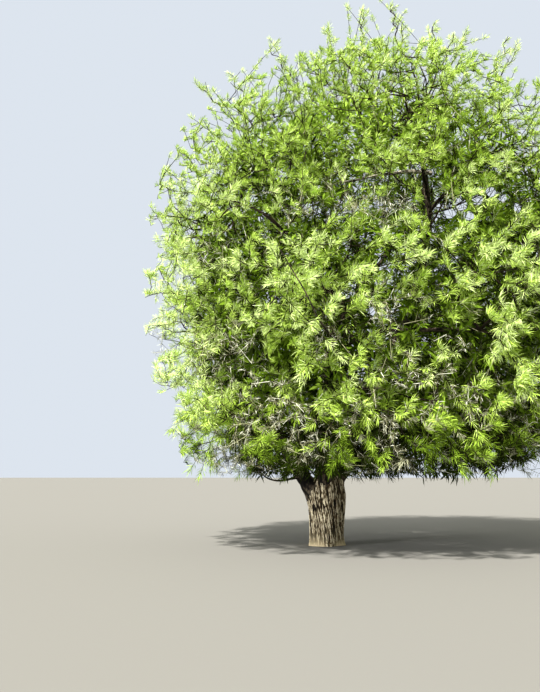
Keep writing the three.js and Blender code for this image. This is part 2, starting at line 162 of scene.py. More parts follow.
# Finer twigs than the solids': how many to a spray and between the sprays, and the charges of their growth
FINE = dict(
    in_spray=16, least=50, path=0.15, turn=150, crowding=70, radius=6, puff=0.2,
    ribs=(0.28, 0.55, 0.8, 0.98), tip=5.5, pipe=2.4, longest=700, shell=0.6, middle=0.56, half=0.44,
    past=1.06, inside=40,
)
BETWEEN = dict(crown_top=1150, upper=1000, middle=660, skirt=640, hem=550, sprout=60)

# Plumes between the sprays, and the middles of those that are placed. Their glow is painted sunlight: it
# deals lighter greens to the leaves at a plume's outer end and on its upper side.
PLUME = dict(
    share=8, twigs=10, length=640, radius=150, apart=330, outward=0.36, up=0.42, wind=0.55, wander=0.4,
    reach=1.25, level=0.35, spindle=0.8, glow_along=0.6, glow_above=0.7,
)
PLUMES = []

# How far the twigs keep inside the crown's skin at its top, and how much more at its right
RIM = dict(open=0.14, right=0.04, right_from=2500, right_over=1800, top_from=8600, top_over=1800)

# Gaps where the sky shows: the picture point and the half width of each, in the photograph's pixels
GAPS = [
    (450, 214, 5), (462, 205, 6), (478, 200, 5), (470, 216, 4), (491, 192, 5), (503, 198, 4), (518, 208, 4),
    (380, 264, 3), (457, 259, 3), (503, 273, 3), (372, 312, 3),
]

# Windows on the stem, dark in painted shade, and the bough, pale in painted sunlight, high in the crown:
# picture point, half width, and the place along y past which leaves and twigs may stand
WINDOWS = [
    (438, 226, 8, -250), (437, 214, 9, -250), (435, 202, 9, -250), (432, 190, 9, -250), (429, 179, 8, -250),
    (418, 171, 6, -350), (408, 173, 6, -450), (398, 176, 5, -550), (388, 178, 5, -650), (378, 180, 5, -750),
    (368, 182, 5, -850), (358, 183, 5, -950), (348, 183, 5, -1050), (338, 182, 5, -1100),
]

# Patches of dead twigs with few leaves, told as the gaps are: round the fork and in the middle, beside the
# stem that is dark in painted shade, and across the waist. They keep a small share of their leaves.
BARE = [
    (310, 442, 24), (262, 405, 30), (300, 412, 18), (322, 347, 15), (430, 388, 32), (395, 365, 20),
    (245, 350, 16), (365, 400, 16), (470, 405, 20), (330, 330, 14), (455, 345, 14), (350, 420, 15),
    (392, 430, 14), (240, 432, 14),
    (330, 181, 8), (350, 183, 9), (372, 180, 9), (395, 174, 9), (415, 172, 10), (430, 186, 10),
    (445, 200, 9),
    (287, 214, 10), (306, 207, 11), (326, 210, 11), (346, 206, 11), (366, 204, 11), (386, 203, 11),
    (406, 204, 10),
]
BARE_KEEPS = 0.12
BARE_WAVES = dict(length=415, swing=0.6, shift=1.9, quick=1.3, slant=0.7, least=1.25, highest=6000)

# Dead twigs in the crown's heart: how many are sought, the charges of their growth, and where they lie; the
# stalks on them; and the shares of pale, grey and dark ones, the pale being dead wood's own pale grey made
# paler still as painted sunlight
DRY = dict(
    number=13500, draws=9, least=60, path=0.05, turn=140, crowding=80, radius=8, longest=480, off=45,
    apart=220, first=0.1, last=0.97, from_cut=0.05, thick=6, vary=(0.6, 1.25), taper=0.55, inner=0.22,
    outer=0.88, lowest=1500, full=4300, full_over=1500, highest=11300, rare=0.9, patch_from=0.68,
    patch_times=2, inside=60, onto_patch=0.12, off_top=0.1, top_from=7500, top_over=2500, pale_to=6500,
)
FIBRE = dict(
    blades=4, most=16, long=130, vary=(0.6, 1.2), onward=0.4, wide=7, share=0.45, from_out=0.5, highest=9000,
    past=200,
)
DRY_SHARES = (0.08, 0.3, 0.62)
STALK_SHARES = (0.27, 0.28, 0.45)

# Long shoots over the skyline: their tips, the stretch that they grow, their links and their zigzag; and the
# glow of the leaves on them and on their side twigs, painted sunlight, the first of which also marks a
# shoot's own nodes
SHOOTS = [
    (110, -1000, 11480), (850, -1050, 11750), (1510, -1250, 11850), (1800, -900, 11620),
    (2520, -1000, 11560), (2900, -1100, 11230), (3250, -950, 11420), (4190, -1000, 11200),
    (4420, -900, 10980), (-1200, -1000, 11000), (-2140, -900, 10400), (-2870, -1000, 10150),
    (900, 1200, 11700), (2300, 1500, 11500), (-300, 1400, 11200), (3600, 1300, 11000),
    (1500, 2700, 11000), (-1500, 1900, 10500), (4600, 700, 10500), (3300, 3000, 10400),
]
SHOOT = dict(
    run=1050, links=6, zigzag=75, least=0.4, leaf=1.15, thick=11, side_twigs=2, aside=150, rise=110,
    glow=1.5, side_glow=1.0,
)


def stream(seed):
    """A repeatable row of numbers from 0 to 1: each state is 48271 times the last one, modulo 2**31 - 1."""
    state = seed
    while True:
        state = state * 48271 % 2147483647
        yield state / 2147483647


def spread(draw, count=1):
    """The next numbers of the stream, from -1 to 1."""
    found = np.array([2 * next(draw) - 1 for _ in range(count)])
    return found if count > 1 else found[0]


def unit(v):
    """Arrows of length 1: v / |v|."""
    return v / np.maximum(np.linalg.norm(v, axis=-1, keepdims=True), 1e-9)


def smooth(x):
    """3x^2 - 2x^3 between 0 and 1, held level outside."""
    x = np.clip(x, 0, 1)
    return x * x * (3 - 2 * x)


def rise(value, start, over):
    """0 up to the start and 1 from start + over on, smooth between them."""
    return smooth((value - start) / over)


def bezier(controls, share):
    """(1-t)^3 a + 3(1-t)^2 t b + 3(1-t) t^2 c + t^3 d."""
    t = np.asarray(share, float)[..., None]
    a, b, c, d = controls
    return (1 - t) ** 3 * a + 3 * (1 - t) ** 2 * t * b + 3 * (1 - t) * t**2 * c + t**3 * d


def heading_of(controls, share):
    """The curve's unit slope: (1-t)^2 (b-a) + 2(1-t) t (c-b) + t^2 (d-c), brought to length 1."""
    t = np.asarray(share, float)[..., None]
    a, b, c, d = controls
    return unit((1 - t) ** 2 * (b - a) + 2 * (1 - t) * t * (c - b) + t**2 * (d - c))


def outness(points):
    """The distance from the crown's middle in its own half sizes, which differ above and below it."""
    aside = (points - CROWN) / np.array([*CROWN_HALF, 1.0])
    tall = np.where(points[..., 2] > CROWN[2], CROWN_ABOVE, CROWN_BELOW)
    return np.sqrt(aside[..., 0] ** 2 + aside[..., 1] ** 2 + (aside[..., 2] / tall) ** 2)


class Limb:
    """A curve whose radius falls as r0 + (r1 - r0) t^0.8, and its straight steps for the clearances."""

    def __init__(self, name, controls, radii, parent=None, cut=0.0):
        self.name = name
        self.controls = np.array(controls, float)
        self.radii = radii
        self.parent = parent
        self.cut = cut
        shares = np.arange(LIMB_STEPS + 1) / LIMB_STEPS
        self.path = bezier(self.controls, shares)
        self.thickness = self.radius(shares)

    def radius(self, share):
        """The radius at a share of the curve."""
        return self.radii[0] + (self.radii[1] - self.radii[0]) * np.asarray(share, float) ** LIMB_TAPER


def stretch_gap(p, q, r, s):
    """The least distance between straight stretches pq and rs: both nearest shares are held in 0..1."""
    u, v, w = q - p, s - r, p - r
    a, b, c = (u * u).sum(-1), (u * v).sum(-1), (v * v).sum(-1)
    d, e = (u * w).sum(-1), (v * w).sum(-1)
    level = a * c - b * b
    m = np.where(level > 1e-9, np.clip((b * e - c * d) / np.where(level > 1e-9, level, 1), 0, 1), 0)
    n = np.clip((b * m + e) / c, 0, 1)
    m = np.clip((b * n - d) / a, 0, 1)
    return np.linalg.norm(w + u * m[..., None] - v * n[..., None], axis=-1)


class Steps:
    """The straight steps of several limbs in one set of arrays."""

    def __init__(self, several):
        self.start = np.concatenate([limb.path[:-1] for limb in several])
        self.end = np.concatenate([limb.path[1:] for limb in several])
        self.thick = np.concatenate([limb.thickness[:-1] for limb in several])
        self.owner = np.repeat(np.arange(len(several)), LIMB_STEPS)

    def clearance(self, p, q, radius):
        """For each stretch pq and each step: the gap between them less both radii."""
        gap = stretch_gap(p[:, None], q[:, None], self.start[None], self.end[None])
        return gap - self.thick[None] - radius


def place_masses():
    """Centres on rings: crown + radius (cos h, sin h) at the ring's height, each drawn a little aside."""
    draw = stream(SEED)
    made = []
    for name, count, height, ring_radius, first, step, half, lift in RINGS:
        for i in range(count):
            degrees = first + i * step
            aside = (degrees - WAIST["heading"]) / WAIST["spread"]
            drawn_in = WAIST["depth"] * math.exp(-aside * aside) if name == "middle" else 0
            radius = ring_radius - drawn_in
            heading = math.radians(degrees)
            flat = CROWN[:2] + radius * np.array([math.cos(heading), math.sin(heading)])
            centre = np.array([*flat, height]) + RING_JITTER * spread(draw, 3)
            label = f"{name}_{i}" if count > 1 else name
            made.append(dict(
                name=label, ring=name, centre=centre, heading=heading, half=half, lift=lift,
                sprays=SPRAY["number"], spray=SPRAY["length"], limb=None, between=BETWEEN[name],
            ))
    made.append(dict(
        name=SPROUT["name"], ring="sprout", centre=np.array(SPROUT["centre"], float),
        heading=math.radians(SPROUT["heading"]), half=SPROUT["half"], lift=SPROUT["lift"],
        sprays=SPROUT["sprays"], spray=SPROUT["spray"], limb=None, between=BETWEEN["sprout"],
    ))
    return made


def in_mass(mass, shares):
    """Points of a mass's egg from shares across its heading, along it and upright."""
    shares = np.atleast_2d(shares)
    c, s = math.cos(mass["heading"]), math.sin(mass["heading"])
    across, along, upright = (shares * mass["half"]).T
    offset = np.stack([along * c - across * s, along * s + across * c, upright], -1)
    return mass["centre"] + offset


def in_space(own, points):
    """True above the browse line, inside the crown, and nearer to the own centre than to any other's."""
    square = ((points[:, None] - CENTRES[None]) ** 2).sum(-1)
    apart = 2 * np.linalg.norm(CENTRES - CENTRES[own], axis=-1)
    apart[own] = 1
    nearer = (square - square[:, own : own + 1]) / apart > SPACE_MARGIN
    nearer[:, own] = True
    return nearer.all(1) & (points[:, 2] >= BROWSE_HEIGHT) & (outness(points) <= 1)


def hem_height(points):
    """The ragged hem: the browse line + wave (1 + sin(x/310 + 1.3 sin(y/270)))."""
    x, y = points[..., 0], points[..., 1]
    swing = HEM["swing"] * np.sin(y / HEM["along"])
    return BROWSE_HEIGHT + HEM["wave"] * (1 + np.sin(x / HEM["across"] + swing))


def in_box(points, margin):
    """True inside the box of the solids, by the margin in millimetres."""
    low, high = (np.array(side) / MM for side in solid_box)
    return ((points >= low + margin) & (points <= high - margin)).all(-1)


def picture_place(points):
    """Where the eye sees points, in pixels: 270 + f x / depth across, 346 - f y / depth down."""
    away = points * MM - np.array(EYE)
    tilt = math.radians(TILT)
    depth = away[..., 1] * math.cos(tilt) + away[..., 2] * math.sin(tilt)
    up = away[..., 2] * math.cos(tilt) - away[..., 1] * math.sin(tilt)
    across = FRAME_WIDTH / 2 + FOCAL_PIXELS * away[..., 0] / depth
    down = FRAME_HEIGHT / 2 - FOCAL_PIXELS * up / depth
    return across, down


def seen_in(points, patches):
    """True where the eye sees a point inside one of the patches."""
    across, down = picture_place(points)
    return np.any([np.hypot(across - x, down - y) < reach for x, y, reach in patches], axis=0)


def open_view(points):
    """True in the gaps, and in the windows where a point lies before the wood that they show."""
    across, down = picture_place(points)
    before = [
        (np.hypot(across - x, down - y) < reach) & (points[..., 1] < front) for x, y, reach, front in WINDOWS
    ]
    return seen_in(points, GAPS) | np.any(before, axis=0)


def bare(points):
    """True in patches of dead twigs: the seen ones on the front half, and all round low in the crown where
    waves along x, y and z about 2.6 m long add up to more than 1.25."""
    rule = BARE_WAVES
    x, y, z = (points / rule["length"]).T
    waves = np.sin(x + rule["swing"] * np.sin(z)) + np.sin(y + rule["shift"])
    waves = waves + np.sin(rule["quick"] * z + rule["slant"] * x)
    low = points[:, 2] < rule["highest"]
    return (seen_in(points, BARE) & (points[:, 1] < 0)) | ((waves > rule["least"]) & low)


def make_bough(index, mass, limbs):
    """The shortest clear way from a main limb to the mass: a curve that leaves along the limb and bows."""
    choices = []
    for limb in limbs[: len(LIMBS)]:
        for i in range(BOUGH["forks"] - 1):
            share = i / BOUGH["forks"]
            if share < limb.cut + BOUGH["from_cut"]:
                continue
            foot = bezier(limb.controls, share)
            way = mass["centre"] - foot
            onward = heading_of(limb.controls, share) @ unit(way)
            cost = np.linalg.norm(way) * (1 + BOUGH["onward"] * (1 - onward))
            choices.append((cost, limb, share, foot, way))
    choices.sort(key=lambda choice: choice[0])
    sways = spread(stream(SEED + 131 * (index + 1)), 4)
    everything = Steps(limbs)
    for _, limb, share, foot, way in choices:
        length = np.linalg.norm(way)
        into = unit(way)
        entry = mass["centre"] - BOUGH["entry"] * mass["half"][1] * into
        entry[2] -= BOUGH["below"] * mass["half"][2]
        reach = np.linalg.norm(entry - foot)
        if reach < BOUGH["shortest"] or not in_space(index, entry[None])[0]:
            continue
        cross = unit(np.cross(into, UP))
        start = unit(BOUGH["outward"] * into + BOUGH["forward"] * heading_of(limb.controls, share))
        arrive = unit(into + BOUGH["rise"] * mass["lift"] * UP)
        jitter = BOUGH["jitter"] * length
        near = foot + BOUGH["bow"] * reach * start + jitter * (sways[0] * cross + sways[1] * UP)
        far = entry - BOUGH["bow"] * reach * arrive + jitter * (sways[2] * cross + sways[3] * UP)
        radius = min(BOUGH["thickest"], BOUGH["share"] * limb.radius(share))
        bough = Limb(f"{mass['name']}_bough", (foot, near, far, entry), (radius, BOUGH["tip"]), limb)
        gaps = everything.clearance(bough.path[:-1], bough.path[1:], 0) - bough.thickness[:-1, None]
        own = everything.owner == limbs.index(limb)
        gaps[: BOUGH["own_steps"], own] = BOUGH["clear"]
        if (gaps >= BOUGH["clear"]).all():
            return bough
    raise ValueError(f"no clear way to {mass['name']}")


def spray_corners(root, along, length, roll):
    """Root, tip, and the two edges and two ridges of each blade: a long kite with a drooping tip."""
    level = unit(np.cross(along, root - CROWN))
    above = np.cross(level, along)
    turn = roll[:, None]
    side = level * np.cos(turn) + above * np.sin(turn)
    normal = np.cross(along, side)
    size = length[:, None]
    tip = root + along * size - UP * SPRAY["droop"] * size
    middle = root + along * SPRAY["widest"] * size
    half = 0.5 * SPRAY["width"] * size
    ridge = 0.5 * SPRAY["thickness"] * size
    edges = [middle + side * half, middle - side * half]
    corners = [root, tip, *edges, middle + normal * ridge, middle - normal * ridge]
    return np.stack(corners, 1)


def blade_lines(corners):
    """A blade's midrib, its four edges and eight lines across it, as their starts and ends."""
    root, tip, left, right = corners[:4]
    starts = [root, root, root, left, right]
    ends = [tip, left, right, tip, tip]
    for end in (root, tip):
        for share in CROSSINGS:
            starts.append(end + (left - end) * share)
            ends.append(end + (right - end) * share)
    return np.array(starts), np.array(ends)


def place_sprays(index, mass, taken, draw, steps):
    """Of many blades drawn at random, each place goes to the one that is furthest from all others."""
    placed = []
    tries = SPRAY["candidates"]
    radius = SPRAY["thickness"] * mass["spray"]
    for _ in range(mass["sprays"]):
        drawn = spread(draw, 8 * tries).reshape(tries, 8)
        size = mass["spray"] * (1 + SPRAY["vary"] * drawn[:, 0])
        root = in_mass(mass, SPRAY["reach"] * drawn[:, 1:4])
        outward = unit(root - CROWN)
        away = unit(root - mass["centre"])
        wander = SPRAY["wander"] * drawn[:, 4:7]
        along = unit(wander + SPRAY["outward"] * outward + SPRAY["away"] * away + mass["lift"] * UP)
        roll = SPRAY["roll"] * drawn[:, 7]
        corners = spray_corners(root, along, size, roll)
        fits = in_space(index, corners.reshape(-1, 3)).reshape(tries, 6).all(1)
        if mass["limb"]:
            fits &= outness(corners[:, 1]) >= SPRAY["leafy_from"]
        middle = (root + corners[:, 1]) / 2
        apart = np.full(tries, np.inf)
        if taken:
            apart = np.linalg.norm(middle[:, None] - np.array(taken)[None], axis=-1).min(1)
        for i in np.argsort(-apart, kind="stable"):
            if not fits[i]:
                continue
            if (steps.clearance(*blade_lines(corners[i]), radius) > LIMB_MARGIN).all():
                placed.append((root[i], along[i], size[i], roll[i]))
                taken.append(middle[i])
                break
    return placed


class Growth:
    """The twigs of one mass: each node joins the one already grown with the least cost
    length + path charge + crowding charge + turn charge (1 - cos)^2, and keeps off the limbs."""

    def __init__(self, root, into, steps, room=2048):
        self.at = np.zeros((room, 3))
        self.along = np.zeros((room, 3))
        self.path = np.zeros(room)
        self.children = np.zeros(room)
        self.back = np.full(room, -1)
        self.leafy = np.zeros(room)
        self.lean = np.zeros((room, 3))
        # Each node's glow is painted sunlight: it deals the node's leaves lighter greens.
        self.glow = np.zeros(room)
        self.count = 1
        self.at[0] = root
        self.along[0] = into
        self.steps = steps

    def free(self, p, q, radius):
        """True where a twig from p to q keeps off every limb."""
        return (self.steps.clearance(p[None], q[None], radius)[0] > LIMB_MARGIN).all()

    def add(self, point, back, leafy, lean=None, glow=0.0):
        """A new node at the point, at the end of the twig from the node behind it."""
        i = self.count
        way = point - self.at[back]
        length = np.linalg.norm(way)
        self.at[i] = point
        self.along[i] = way / max(length, 1e-9)
        self.path[i] = self.path[back] + length
        self.back[i] = back
        self.leafy[i] = leafy
        self.lean[i] = self.along[i] if lean is None else lean
        self.glow[i] = glow
        self.children[back] += 1
        self.count += 1
        return i

    def grow(self, point, rule, leafy=0, longest=np.inf, tries=6, lean=None, glow=0.0):
        """A new node at the point, from the free one of the cheapest few, or none."""
        n = self.count
        way = point - self.at[:n]
        length = np.linalg.norm(way, axis=-1)
        turn = 1 - (way * self.along[:n]).sum(-1) / np.maximum(length, 1e-9)
        cost = length + rule["path"] * self.path[:n] + rule["crowding"] * self.children[:n]
        cost = cost + rule["turn"] * turn * turn
        cost[(length <= rule["least"]) | (length > longest)] = np.inf
        for back in np.argsort(cost, kind="stable")[:tries]:
            if np.isinf(cost[back]):
                break
            if self.free(self.at[back], point, rule["radius"]):
                return self.add(point, back, leafy, lean, glow)
        return None


def grow_mass(index, mass, taken, steps):
    """The source's hubs and sprays first, then each spray's own ribs, and last the finest twigs."""
    draw = stream(SEED + 977 * (1 + index))
    placed = place_sprays(index, mass, taken, draw, steps)
    growth = Growth(mass["root"], mass["into"], steps)
    for _ in range(TWIG["hubs"]):
        point = in_mass(mass, TWIG["hub_reach"] * spread(draw, 3))[0]
        if in_space(index, point[None])[0]:
            growth.grow(point, TWIG, tries=TWIG["tries"])
    placed.sort(key=lambda spray: np.linalg.norm(spray[0] - mass["root"]))
    targets = []
    for root, along, size, roll in placed:
        start = growth.grow(root, TWIG, tries=TWIG["tries"])
        if start is None:
            continue
        back = start
        for share in FINE["ribs"]:
            bent = root + along * size * share - UP * SPRAY["droop"] * size * share * share
            # A rib's glow is its share along the spray: painted sunlight, lighter towards the spray's end.
            back = growth.add(bent, back, 1, along, share)
        targets.append(fine_points(root, along, size, roll, draw))
    targets.append(plume_points(mass, draw))
    targets = open_targets(index, np.concatenate(targets))
    chance = np.array([next(draw) for _ in range(len(targets))])
    targets = targets[(chance < BARE_KEEPS) | ~bare(targets[:, :3])]
    order = np.argsort(np.linalg.norm(targets[:, :3] - mass["root"], axis=-1), kind="stable")
    for target in targets[order]:
        growth.grow(target[:3], FINE, 1, FINE["longest"], lean=target[3:6], glow=target[6])
    return growth


def open_targets(index, targets):
    """The twig ends that lie in the mass's own space, over the hem, inside the rim and out of the gaps."""
    points = targets[:, :3]
    open_to = RIM["open"] + RIM["right"] * rise(points[:, 0], RIM["right_from"], RIM["right_over"])
    dense = outness(points) < 1 - open_to * rise(points[:, 2], RIM["top_from"], RIM["top_over"])
    dense &= points[:, 2] > hem_height(points)
    return targets[in_space(index, points) & in_box(points, FINE["inside"]) & ~open_view(points) & dense]


def plume_points(mass, draw):
    """Plumes: bunches of twig ends about a line that leans outward, up and downwind, their middles apart.
    A point lies a share along the line and off it in a spindle, and the outer and upper ones glow more, a
    painted sunlight that deals their leaves lighter greens."""
    count = mass["between"] // PLUME["share"]
    middles = in_mass(mass, PLUME["reach"] * spread(draw, 9 * count).reshape(-1, 3))
    middles = middles[(outness(middles) > FINE["shell"]) | (mass["limb"] is None)]
    kept = []
    for middle in middles:
        near = PLUMES + kept
        if not near or np.linalg.norm(np.array(near) - middle, axis=-1).min() > PLUME["apart"]:
            kept.append(middle)
        if len(kept) == count:
            break
    PLUMES.extend(kept)
    n, twigs = len(kept), PLUME["twigs"]
    middles = np.array(kept).reshape(n, 3)
    level = unit((middles - CROWN) * (1, 1, PLUME["level"]))
    drawn = spread(draw, 3 * n).reshape(n, 3)
    lean = unit(PLUME["outward"] * level + PLUME["up"] * UP + PLUME["wind"] * WIND + PLUME["wander"] * drawn)
    drawn = spread(draw, 4 * n * twigs).reshape(n, twigs, 4)
    share = drawn[..., :1]
    aside = drawn[..., 1:]
    aside = aside - (aside * lean[:, None]).sum(-1, keepdims=True) * lean[:, None]
    off = PLUME["radius"] * np.sqrt(1 - PLUME["spindle"] * share**2) * aside
    points = middles[:, None] + 0.5 * PLUME["length"] * share * lean[:, None] + off
    glow = PLUME["glow_along"] * share + PLUME["glow_above"] * aside[..., 2:]
    lean = np.broadcast_to(lean[:, None], points.shape)
    return np.concatenate([points, lean, glow], -1).reshape(-1, 7)


def fine_points(root, along, size, roll, draw):
    """Points in and about one blade: a share along it, a share of its kite's width there, and a puff off it.
    Each comes with the blade's direction and its share as its glow, a painted sunlight that deals lighter
    greens towards the blade's end."""
    count = FINE["in_spray"]
    drawn = spread(draw, 3 * count).reshape(count, 3)
    share = FINE["middle"] + FINE["half"] * drawn[:, 0]
    wide = np.minimum(share / SPRAY["widest"], (FINE["past"] - share) / (1 - SPRAY["widest"]))
    level = unit(np.cross(along, root - CROWN))
    side = level * math.cos(roll) + np.cross(level, along) * math.sin(roll)
    normal = np.cross(along, side)
    across = 0.5 * SPRAY["width"] * size * wide * drawn[:, 1]
    puff = FINE["puff"] * size * drawn[:, 2]
    sag = SPRAY["droop"] * size * share**2
    points = root + along * (share * size)[:, None] + side * across[:, None]
    points = points + normal * puff[:, None] - UP * sag[:, None]
    return np.concatenate([points, np.tile(along, (count, 1)), share[:, None]], -1)


def grow_tree():
    """Limbs, masses and boughs, and then every mass's twigs, in the order of the solids' own source."""
    limbs = [Limb(name, (a, b, c, d), radii, None, cut) for name, a, b, c, d, radii, cut in LIMBS]
    for limb in limbs:
        apart = [np.linalg.norm(mass["centre"] - limb.path[-1]) for mass in masses]
        masses[int(np.argmin(apart))]["limb"] = limb
    for i, mass in enumerate(masses):
        if mass["limb"] or mass["ring"] == "sprout":
            continue
        mass["limb"] = make_bough(i, mass, limbs)
        limbs.append(mass["limb"])
    for mass in masses:
        limb = mass["limb"]
        if limb:
            mass["into"] = heading_of(limb.controls, 1.0)
            mass["foot"] = bezier(limb.controls, 1.0)
            mass["radius"] = limb.radii[1]
            mass["root"] = mass["foot"] + STEM_LENGTH * mass["into"]
        else:
            mass["root"] = np.array(SPROUT["root"], float)
            mass["foot"] = np.array(SPROUT["foot"], float)
            mass["into"] = unit(mass["root"] - mass["foot"])
            mass["radius"] = SPROUT["radius"]
    steps = Steps(limbs)
    taken = []
    grown = [grow_mass(i, mass, taken, steps) for i, mass in enumerate(masses)]
    grow_shoots(grown)
    return limbs, grown, steps


def grow_shoots(grown):
    """Each shoot leaves the nearest twig below its tip and zigzags up to it in links of one length."""
    rng = np.random.default_rng(SEED)
    for tip in np.array(SHOOTS, float):
        foot = tip - SHOOT["run"] * unit(tip - CROWN)
        apart = [np.linalg.norm(growth.at[: growth.count] - foot, axis=-1) for growth in grown]
        which = int(np.argmin([one.min() for one in apart]))
        growth = grown[which]
        back = int(np.argmin(apart[which]))
        start = growth.at[back]
        side = unit(np.cross(tip - start, rng.standard_normal(3)))
        for k in range(1, SHOOT["links"] + 1):
            sway = SHOOT["zigzag"] * (-1) ** k * rng.uniform(SHOOT["least"], 1) * (k < SHOOT["links"])
            point = start + (tip - start) * k / SHOOT["links"] + side * sway
            back = growth.add(point, back, SHOOT["leaf"], glow=SHOOT["glow"])
            for _ in range(SHOOT["side_twigs"] * (1 < k < SHOOT["links"])):
                off = SHOOT["aside"] * unit(rng.standard_normal(3)) + SHOOT["rise"] * UP
                growth.add(point + off, back, SHOOT["leaf"], glow=SHOOT["side_glow"])


def dry_seeds(rng):
    """Places on the skin of every limb and inner bough, a step apart: heart, skin and the way out."""
    seeds = []
    for limb in limbs + inner:
        length = np.linalg.norm(np.diff(limb.path, axis=0), axis=-1).sum()
        share = np.arange(DRY["first"], DRY["last"], DRY["apart"] / length)
        share = share[share > limb.cut + DRY["from_cut"]]
        heart = bezier(limb.controls, share)
        out = unit(np.cross(heading_of(limb.controls, share), rng.standard_normal((len(share), 3))))
        skin = heart + out * (limb.radius(share) + DRY["off"])[:, None]
        seeds.append((heart, skin, out))
    heart, skin, out = (np.concatenate(part) for part in zip(*seeds))
    low = (skin[:, 2] > DRY["lowest"]) & (skin[:, 2] < DRY["highest"])
    return heart[low], skin[low], out[low]


def dry_ends(rng):
    """Ends for dead twigs, drawn all through the crown: a little sparser at the top, twice as likely in the
    outer bare patches, and none at the crown's very heart, at its skin or in the open gaps."""
    size = np.array([*CROWN_HALF, CROWN_BELOW])
    points = CROWN + size * rng.uniform(-1, 1, (DRY["draws"] * DRY["number"], 3))
    height = points[:, 2]
    chance = 1 - (1 - DRY["rare"]) * rise(height, DRY["full"], DRY["full_over"])
    chance[height > DRY["highest"]] = 0
    chance[(height < DRY["lowest"]) | open_view(points) | ~in_box(points, DRY["inside"])] = 0
    far = outness(points)
    off_top = DRY["off_top"] * rise(height, DRY["top_from"], DRY["top_over"])
    outer = DRY["outer"] + DRY["onto_patch"] * bare(points) - off_top
    chance[(far < DRY["inner"]) | (far > outer)] = 0
    chance[bare(points) & (far > DRY["patch_from"])] *= DRY["patch_times"]
    return points[rng.uniform(0, DRY["patch_times"], len(points)) < chance][: DRY["number"]]


def grow_dry():
    """Dead twigs by the same rule, from the limbs' skin inwards and outwards, the nearest ends first. Gives
    their links' starts, ends and directions. The last links join the limbs, and have no direction."""
    rng = np.random.default_rng(SEED + 1)
    growth = Growth(limbs[0].path[0], UP, steps, 2 * DRY["number"])
    heart, skin, out = dry_seeds(rng)
    n = len(heart)
    growth.at[:n], growth.along[:n], growth.count = skin, out, n
    points = dry_ends(rng)
    nearest = np.full(len(points), np.inf)
    for at in skin:
        nearest = np.minimum(nearest, np.linalg.norm(points - at, axis=-1))
    for point in points[np.argsort(nearest, kind="stable")]:
        growth.grow(point, DRY, longest=DRY["longest"], tries=3)
    m = growth.count
    start = np.concatenate([growth.at[growth.back[n:m]], heart])
    end = np.concatenate([growth.at[n:m], skin])
    return start, end, growth.along[n:m]


def linear(*levels):
    """Screen levels, 0 to 255, as linear shares: c/12.92 up to 0.04045, over it ((c+0.055)/1.055)^2.4."""
    c = np.array(levels, float) / 255
    return (*np.where(c <= 0.04045, c / 12.92, ((c + 0.055) / 1.055) ** 2.4), 1.0)


def make_mesh(name, points, faces, sizes, materials, smooth_faces=False, face_materials=None):
    """A joined mesh from whole arrays: points in millimetres, corner indices, each face's corner count."""
    mesh = bpy.data.meshes.new(name)
    mesh.vertices.add(len(points))
    mesh.vertices.foreach_set("co", (points * MM).astype(np.float32).ravel())
    mesh.loops.add(len(faces))
    mesh.loops.foreach_set("vertex_index", faces.astype(np.int32))
    mesh.polygons.add(len(sizes))
    starts = np.concatenate([[0], np.cumsum(sizes)[:-1]]).astype(np.int32)
    mesh.polygons.foreach_set("loop_start", starts)
    mesh.polygons.foreach_set("loop_total", np.asarray(sizes, np.int32))
    mesh.polygons.foreach_set("use_smooth", np.full(len(sizes), smooth_faces))
    for material in materials:
        mesh.materials.append(material)
    if face_materials is not None:
        mesh.polygons.foreach_set("material_index", face_materials.astype(np.int32))
    mesh.update(calc_edges=True)
    piece = bpy.data.objects.new(name, mesh)
    bpy.context.scene.collection.objects.link(piece)
    return piece


def seat(piece, nodes):
    """Puts a piece on the tree's one body, in the place of the solids that it stands for."""
    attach(piece, "root")
    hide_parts(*nodes)


def plain_material(name, colour, roughness, specular=0.35):
    """One plain colour and gloss all over."""
    material = bpy.data.materials.new(name)
    material.use_nodes = True
    shader = material.node_tree.nodes["Principled BSDF"]
    shader.inputs["Base Color"].default_value = colour
    shader.inputs["Roughness"].default_value = roughness
    shader.inputs["Specular IOR Level"].default_value = specular
    return material


def make_camera():
    """The photograph's own view, with its frame's height from the focal length in pixels."""
    data = bpy.data.cameras.new("eye")
    data.sensor_fit = "VERTICAL"
    data.angle = 2 * math.atan(FRAME_HEIGHT / 2 / FOCAL_PIXELS)
    data.clip_end = 300
    eye = bpy.data.objects.new("eye", data)
    eye.location = EYE
    eye.rotation_euler = (math.radians(90 + TILT), 0, 0)
    bpy.context.scene.collection.objects.link(eye)
    bpy.context.scene.camera = eye


# Studio: the floor, the sun, a soft fill and the pale sky round them
FLOOR_HALF = 150.0
SUN = dict(energy=9.8, degrees=3, towards=(0.30, 0.67, -0.85), colour=(1.0, 0.96, 0.88))
FILL = dict(energy=2.4, degrees=20, towards=(0.82, 0.57, -0.22), colour=(1.0, 1.0, 1.0))
SURROUND = dict(lit=0.81, seen=0.86, lit_tint=(0.98, 1.0, 0.90, 1), seen_tint=(0.84, 0.91, 1.0, 1))


def hang_sun(name, rule):
    """A sun of some degrees' width that shines towards a direction."""
    sun = bpy.data.lights.new(name, "SUN")
    sun.energy = rule["energy"]
    sun.angle = math.radians(rule["degrees"])
    sun.color = rule["colour"]
    lamp = bpy.data.objects.new(name, sun)
    lamp.rotation_euler = Vector(rule["towards"]).to_track_quat("-Z", "Y").to_euler()
    bpy.context.scene.collection.objects.link(lamp)


def make_floor():
    """A plain pale floor at the ground, far past the frame."""
    size = FLOOR_HALF
    corners = [(-size, -size, 0), (size, -size, 0), (size, size, 0), (-size, size, 0)]
    mesh = bpy.data.meshes.new("floor")
    mesh.from_pydata(corners, [], [(0, 1, 2, 3)])
    mesh.materials.append(plain_material("pale_floor", linear(118, 117, 114), 0.9, 0.2))
    floor = bpy.data.objects.new("floor", mesh)
    bpy.context.scene.collection.objects.link(floor)


